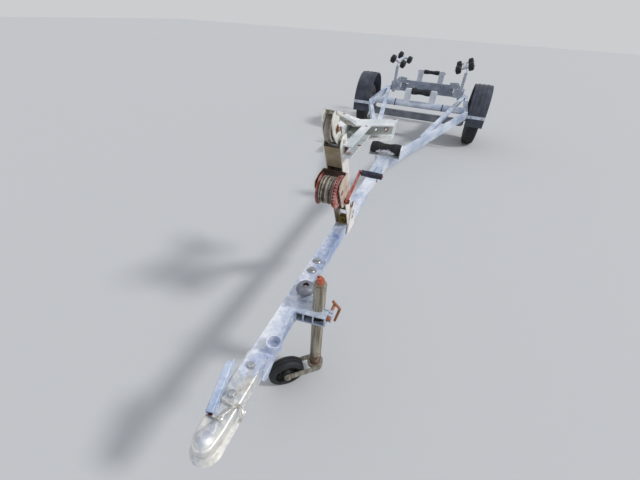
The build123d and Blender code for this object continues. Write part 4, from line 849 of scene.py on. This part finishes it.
class TRAILER_OT_wheel_nuts(bpy.types.Operator):
    """Wheel nuts on the hub's studs and a rubber valve in each rim"""
    bl_idname = "trailer.wheel_nuts"
    bl_label = "Wheel nuts and valves"

    def execute(self, context):
        sizes = context.scene.trailer_sizes
        nut = hex_bolt("nut_master", 19, 15, washer_r=12.5, washer=3, thread=4, thread_r=6)
        stem_outline = [(0, 0.1), (0, 5.5), (6, 5.2), (8, 3.8), (26, 3.6), (27, 4.1), (34, 4.1), (35, 3.4),
                        (35, 0.1)]
        valve = lathe("valve_master", stem_outline, 16)
        settle(valve, 40)
        for side, word in ((1, "right"), (-1, "left")):
            centre = middle_of(f"wheel_{word}")
            places = []
            for index in range(sizes.wheel_nuts):
                turn = math.tau * index / sizes.wheel_nuts
                spoke = Vector((0, math.cos(turn), math.sin(turn))) * sizes.nut_circle
                places.append(turn_to((side, 0, 0), centre + spoke + Vector((side * NUT_FACE * MM, 0, 0))))
            nuts = spread(nut, f"wheel_nuts_{word}", places)
            finish_piece(nuts, f"road_wheel_{word}", "bolt_zinc")
            place = Matrix.Translation(centre + Vector((side * VALVE_FOOT, 0, VALVE_CIRCLE)) * MM)
            if side < 0:
                place = place @ Matrix.Rotation(math.pi, 4, "Z")
            stem = copy_at(valve, f"tyre_valve_{word}", place)
            finish_piece(stem, f"road_wheel_{word}", "ring_rubber")
        drop(nut)
        drop(valve)
        return {"FINISHED"}


# How unevenly the rope lies: how far a turn sinks in millimetres, leans in degrees and is pressed oval
SLACK = 0.9
LEAN = 1.4
OVAL = 0.012


class TRAILER_OT_rope(bpy.types.Operator):
    """Turns of rope side by side on the winch drum, over a first layer"""
    bl_idname = "trailer.rope"
    bl_label = "Winch rope"

    def execute(self, context):
        thick = context.scene.trailer_sizes.rope_radius
        low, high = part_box("wound_rope")
        middle = middle_of("wound_rope")
        outer = half_of("wound_rope", 2) * MM
        width = high[0] - low[0]
        turns = []
        count = int(width / (2 * thick))
        for layer, radius in ((0, outer - 3.1 * thick), (1, outer - thick)):
            for index in range(count - layer):
                x = low[0] + thick + layer * thick + index * (width - 2 * thick) / (count - 1)
                sunk = abs(SLACK * MM * math.sin(2.1 * index + layer))
                lean = math.radians(90 + LEAN * math.sin(1.7 * index))
                place = (min(x, high[0] - thick), middle.y, middle.z)
                ring = primitive("torus", f"turn_{layer}_{index}", major_segments=72, minor_segments=10,
                                 major_radius=radius - sunk, minor_radius=thick, location=place,
                                 rotation=(0, lean, 0))
                edit(ring, "VERT")
                bpy.ops.mesh.select_all(action="SELECT")
                squeeze = 1 - abs(OVAL * math.cos(1.3 * index))
                bpy.ops.transform.resize(value=(squeeze, 1, 1), orient_type="LOCAL")
                leave()
                turns.append(settle(ring, 70))
        core = primitive("cylinder", "rope_core", vertices=48, radius=outer - 4.4 * thick, depth=width,
                         location=middle, rotation=(0, math.radians(90), 0))
        turns.append(settle(bevel_edges(core, 1.0), 40))
        rope = join(turns, "winch_rope_turns")
        finish_piece(rope, "winch_drum", "winch_rope")
        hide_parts("wound_rope")
        return {"FINISHED"}


# Half the width of the jockey wheel, whose box stands askew, in millimetres
JOCKEY_HALF = 25.0


class TRAILER_OT_jockey_wheel(bpy.types.Operator):
    """Solid rubber tyre on a moulded centre with windows"""
    bl_idname = "trailer.jockey_wheel"
    bl_label = "Jockey wheel"

    def execute(self, context):
        count = context.scene.trailer_sizes.windows
        half, r = JOCKEY_HALF, half_of("jockey_wheel", 2)
        tyre_outline = [(-half + 3, r - 24), (-half, r - 22), (-half, r - 12), (-half + 2, r - 7),
                        (-half + 7, r - 1.5), (-9, r), (-8, r - 3), (-5, r - 3), (-4, r), (4, r), (5, r - 3),
                        (8, r - 3), (9, r), (half - 7, r - 1.5), (half - 2, r - 7), (half, r - 12),
                        (half, r - 22), (half - 3, r - 24), (-half + 3, r - 24)]
        tyre = lathe("jockey_tyre", tyre_outline, 64)
        settle(tyre, 40)
        centre_outline = [(-half, 8.2), (-half, 19), (-half + 3, 21), (-7, 23), (-5, 27), (-5, r - 30),
                          (-8, r - 27), (-half + 4, r - 26), (-half + 2, r - 23.6), (half - 2, r - 23.6),
                          (half - 4, r - 26), (8, r - 27), (5, r - 30), (5, 27), (7, 23), (half - 3, 21),
                          (half, 19), (half, 8.2), (-half, 8.2)]
        middle = lathe("jockey_centre", centre_outline, 70)
        settle(middle, 40)
        cutter = primitive("cylinder", "window", vertices=20, radius=9.2 * MM, depth=30 * MM,
                           location=(0, 0, (r - 39) * MM), rotation=(0, math.radians(90), 0))
        edit(cutter)
        bpy.ops.mesh.select_all(action="SELECT")
        bpy.ops.transform.resize(value=(1, 1.25, 1))
        leave()
        settle(cutter, 30)
        turns = [Matrix.Rotation(math.tau * index / count, 4, "X") for index in range(count)]
        openings = spread(cutter, "windows", turns)
        modify(middle, "BOOLEAN", operation="DIFFERENCE", object=openings, solver="EXACT")
        settle(middle, 40)
        drop(cutter)
        drop(openings)
        # the wheel trails behind the upright tube, and its axle runs square to the way it trails
        centre = middle_of("jockey_wheel")
        trail = centre - middle_of("jockey_inner")
        across = Vector((trail.y, -trail.x, 0))
        place = Matrix.Translation(centre) @ across.to_track_quat("X", "Z").to_matrix().to_4x4()
        for piece, name, finish_name in ((tyre, "jockey_wheel_tyre", "jockey_rubber"),
                                         (middle, "jockey_wheel_centre", "ring_rubber")):
            made = copy_at(piece, name, place)
            finish_piece(made, "jockey_wheel", finish_name)
            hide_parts("jockey_wheel")
            drop(piece)
        return {"FINISHED"}


# Bolts on the fixed frame by group, in millimetres: width across the flats, height, the washer's radius, the
# thread's length and the places, (x, station, height)
BoltGroup = namedtuple("BoltGroup", "pointing flats height washer_r thread places")
HEAD_BOLTS = [(0, 264, BAR_TOP), (0, 166, 461)]
CUP_RISE = 5
GUARD_X = (-668, -790, 668, 790)
STRAP_STATIONS = (STRAP_FRONT + 14.5, STRAP_REAR - 14.5)
SLEEVE_STATIONS = (1852, 1880)
BOLTS = {
    "guard_bolts_front": BoltGroup((0, -1, 0), 13, 7, 11, 0, [(x, STRAP_FRONT, STRAP_Z) for x in GUARD_X]),
    "guard_bolts_rear": BoltGroup((0, 1, 0), 13, 7, 11, 0, [(x, STRAP_REAR, STRAP_Z) for x in GUARD_X]),
    "strap_bolts_right": BoltGroup((1, 0, 0), 13, 8, 11, 3, [(621, s, STRAP_Z) for s in STRAP_STATIONS]),
    "strap_bolts_left": BoltGroup((-1, 0, 0), 13, 8, 11, 3, [(-621, s, STRAP_Z) for s in STRAP_STATIONS]),
    "roller_beam_bolts": BoltGroup((0, -1, 0), 17, 9, 14, 0,
                                   [(x, BEAM_FRONT, 480) for x in (-350, -190, 190, 350)]),
    "drawbar_heads_front": BoltGroup((0, 0, 1), 19, 8, 13, 0, HEAD_BOLTS),
    "drawbar_heads_rear": BoltGroup((0, 0, 1), 19, 7, 12, 0,
                                    [(0, s, BAR_TOP + CUP_RISE) for s in CUP_STATIONS]),
    "drawbar_nuts": BoltGroup((0, 0, -1), 19, 9, 12, 3, [(0, s, BAR_LOW) for s in (166, 264, *CUP_STATIONS)]),
    "sleeve_bolts_right": BoltGroup((1, 0, 0), 17, 9, 14, 4, [(35, s, 425) for s in SLEEVE_STATIONS]),
    "sleeve_bolts_left": BoltGroup((-1, 0, 0), 17, 10, 14, 4, [(-35, s, 425) for s in SLEEVE_STATIONS]),
}


class TRAILER_OT_bolts(bpy.types.Operator):
    """Hex bolts and nuts on the guards' straps, the roller beam, the drawbar and its sleeve"""
    bl_idname = "trailer.bolts"
    bl_label = "Bolts"

    def execute(self, context):
        for name, group in BOLTS.items():
            master = hex_bolt(f"{name}_master", group.flats, group.height, group.washer_r, 2, group.thread,
                              group.flats * 0.3)
            made = spread(master, name, [turn_to(group.pointing, row(*place)) for place in group.places])
            finish_piece(made, "trailer", "bolt_zinc")
            if name.startswith("drawbar"):
                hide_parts("drawbar_bolts")
            drop(master)
        cup_outline = [(0, 0.1), (0, 16.6), (1, 17), (2.2, 16), (4.4, 13.6), (CUP_RISE, 12.6),
                       (CUP_RISE, 0.1)]
        cup = lathe("cup_master", cup_outline, 32)
        settle(cup, 30)
        places = [turn_to((0, 0, 1), row(0, s, BAR_TOP)) @ UPRIGHT for s in CUP_STATIONS]
        cups = spread(cup, "drawbar_cups", places)
        finish_piece(cups, "trailer", "bolt_zinc")
        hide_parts("drawbar_bolts")
        drop(cup)
        return {"FINISHED"}


class TRAILER_OT_cap(bpy.types.Operator):
    """Cast cap on its stem, with a bolt sunk in the hole at its top"""
    bl_idname = "trailer.cap"
    bl_label = "Domed cap"

    def execute(self, context):
        outline = [(-20, 0.1), (-20, 16), (-1, 16), (-1, 35.5), (0.6, 37.5), (3, 38), (8, 37.2), (13, 34.6),
                   (17.5, 30.4), (21.5, 24.4), (24.2, 18), (25.2, 13.4), (24.8, 11.8), (23.2, 10.8),
                   (12, 10.4), (11, 6.6), (15, 6.2), (15.6, 0.1)]
        dome = lathe("cap_master", outline, 56)
        settle(dome, 40)
        made = copy_at(dome, "cast_cap", Matrix.Translation(row(*CAP_PLACE)) @ UPRIGHT)
        finish_piece(made, "trailer", "cap_iron")
        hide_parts("domed_cap")
        drop(dome)
        return {"FINISHED"}


# The catch's strands of spring wire by name: radius in millimetres and the points that draw it, (x, station,
# height), and the middles of the bands that hold them together
STRANDS = {
    "strand_main": (3.5, [(-9, 97, 472), (6, 96, 472), (18, 97, 470), (15, 108, 469), (14, 118, 469),
                          (24, 136, 467), (37, 151, 464), (52, 148, 460), (61, 139, 456), (56, 128, 446),
                          (50, 122, 438), (49.5, 119, 434)]),
    "strand_second": (3.2, [(-17, 143, 474), (-6, 142, 473.5), (8, 140, 471), (20, 139, 469), (33, 147, 467),
                            (44, 147, 464), (56, 136, 461), (59, 131, 452), (52, 124, 443)]),
    "strand_third": (3.0, [(4, 101, 473), (12, 104, 472), (21, 122, 470), (31, 141, 469), (44, 145, 466),
                           (56, 139, 461), (60, 129, 450), (54, 121, 438)]),
}
BANDS = ((24, 137.5, 468), (31, 144, 467), (47, 148, 462.5))


class TRAILER_OT_catch(bpy.types.Operator):
    """Three strands of spring wire hooked over the coupling's handle and shoulder"""
    bl_idname = "trailer.catch"
    bl_label = "Coupling catch"

    def execute(self, context):
        pieces = []
        for name, (radius, points) in STRANDS.items():
            pieces.append(bent_rod(name, [row(*point) for point in points], radius))
        for index, place in enumerate(BANDS):
            turn = (math.radians(80), 0, math.radians(-55 + 20 * index))
            band = primitive("torus", f"wrap_{index}", major_segments=20, minor_segments=8,
                             major_radius=4.0 * MM, minor_radius=1.3 * MM, location=row(*place),
                             rotation=turn)
            pieces.append(settle(band, 60))
        made = join(pieces, "coupling_wire_catch")
        finish_piece(made, "trailer", "wire_zinc")
        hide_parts("coupling_catch")
        return {"FINISHED"}


class TRAILER_PT_panel(bpy.types.Panel):
    """Lists the steps in order"""
    bl_idname = "TRAILER_PT_panel"
    bl_label = "Boat trailer"
    bl_space_type = "VIEW_3D"
    bl_region_type = "UI"
    bl_category = "Trailer"

    def draw(self, context):
        for step in STEPS:
            self.layout.operator(step.bl_idname)


STEPS = (TRAILER_OT_stage, TRAILER_OT_dress, TRAILER_OT_tyres, TRAILER_OT_wheel_nuts, TRAILER_OT_rope,
         TRAILER_OT_jockey_wheel, TRAILER_OT_bolts, TRAILER_OT_cap, TRAILER_OT_catch)
CLASSES = (TrailerSizes, *STEPS, TRAILER_PT_panel)


def register():
    for item in CLASSES:
        bpy.utils.register_class(item)
    bpy.types.Scene.trailer_sizes = PointerProperty(type=TrailerSizes)


def unregister():
    del bpy.types.Scene.trailer_sizes
    for item in reversed(CLASSES):
        bpy.utils.unregister_class(item)


def main():
    register()
    for step in STEPS:
        group, action = step.bl_idname.split(".")
        getattr(getattr(bpy.ops, group), action)()


if __name__ == "__main__":
    main()
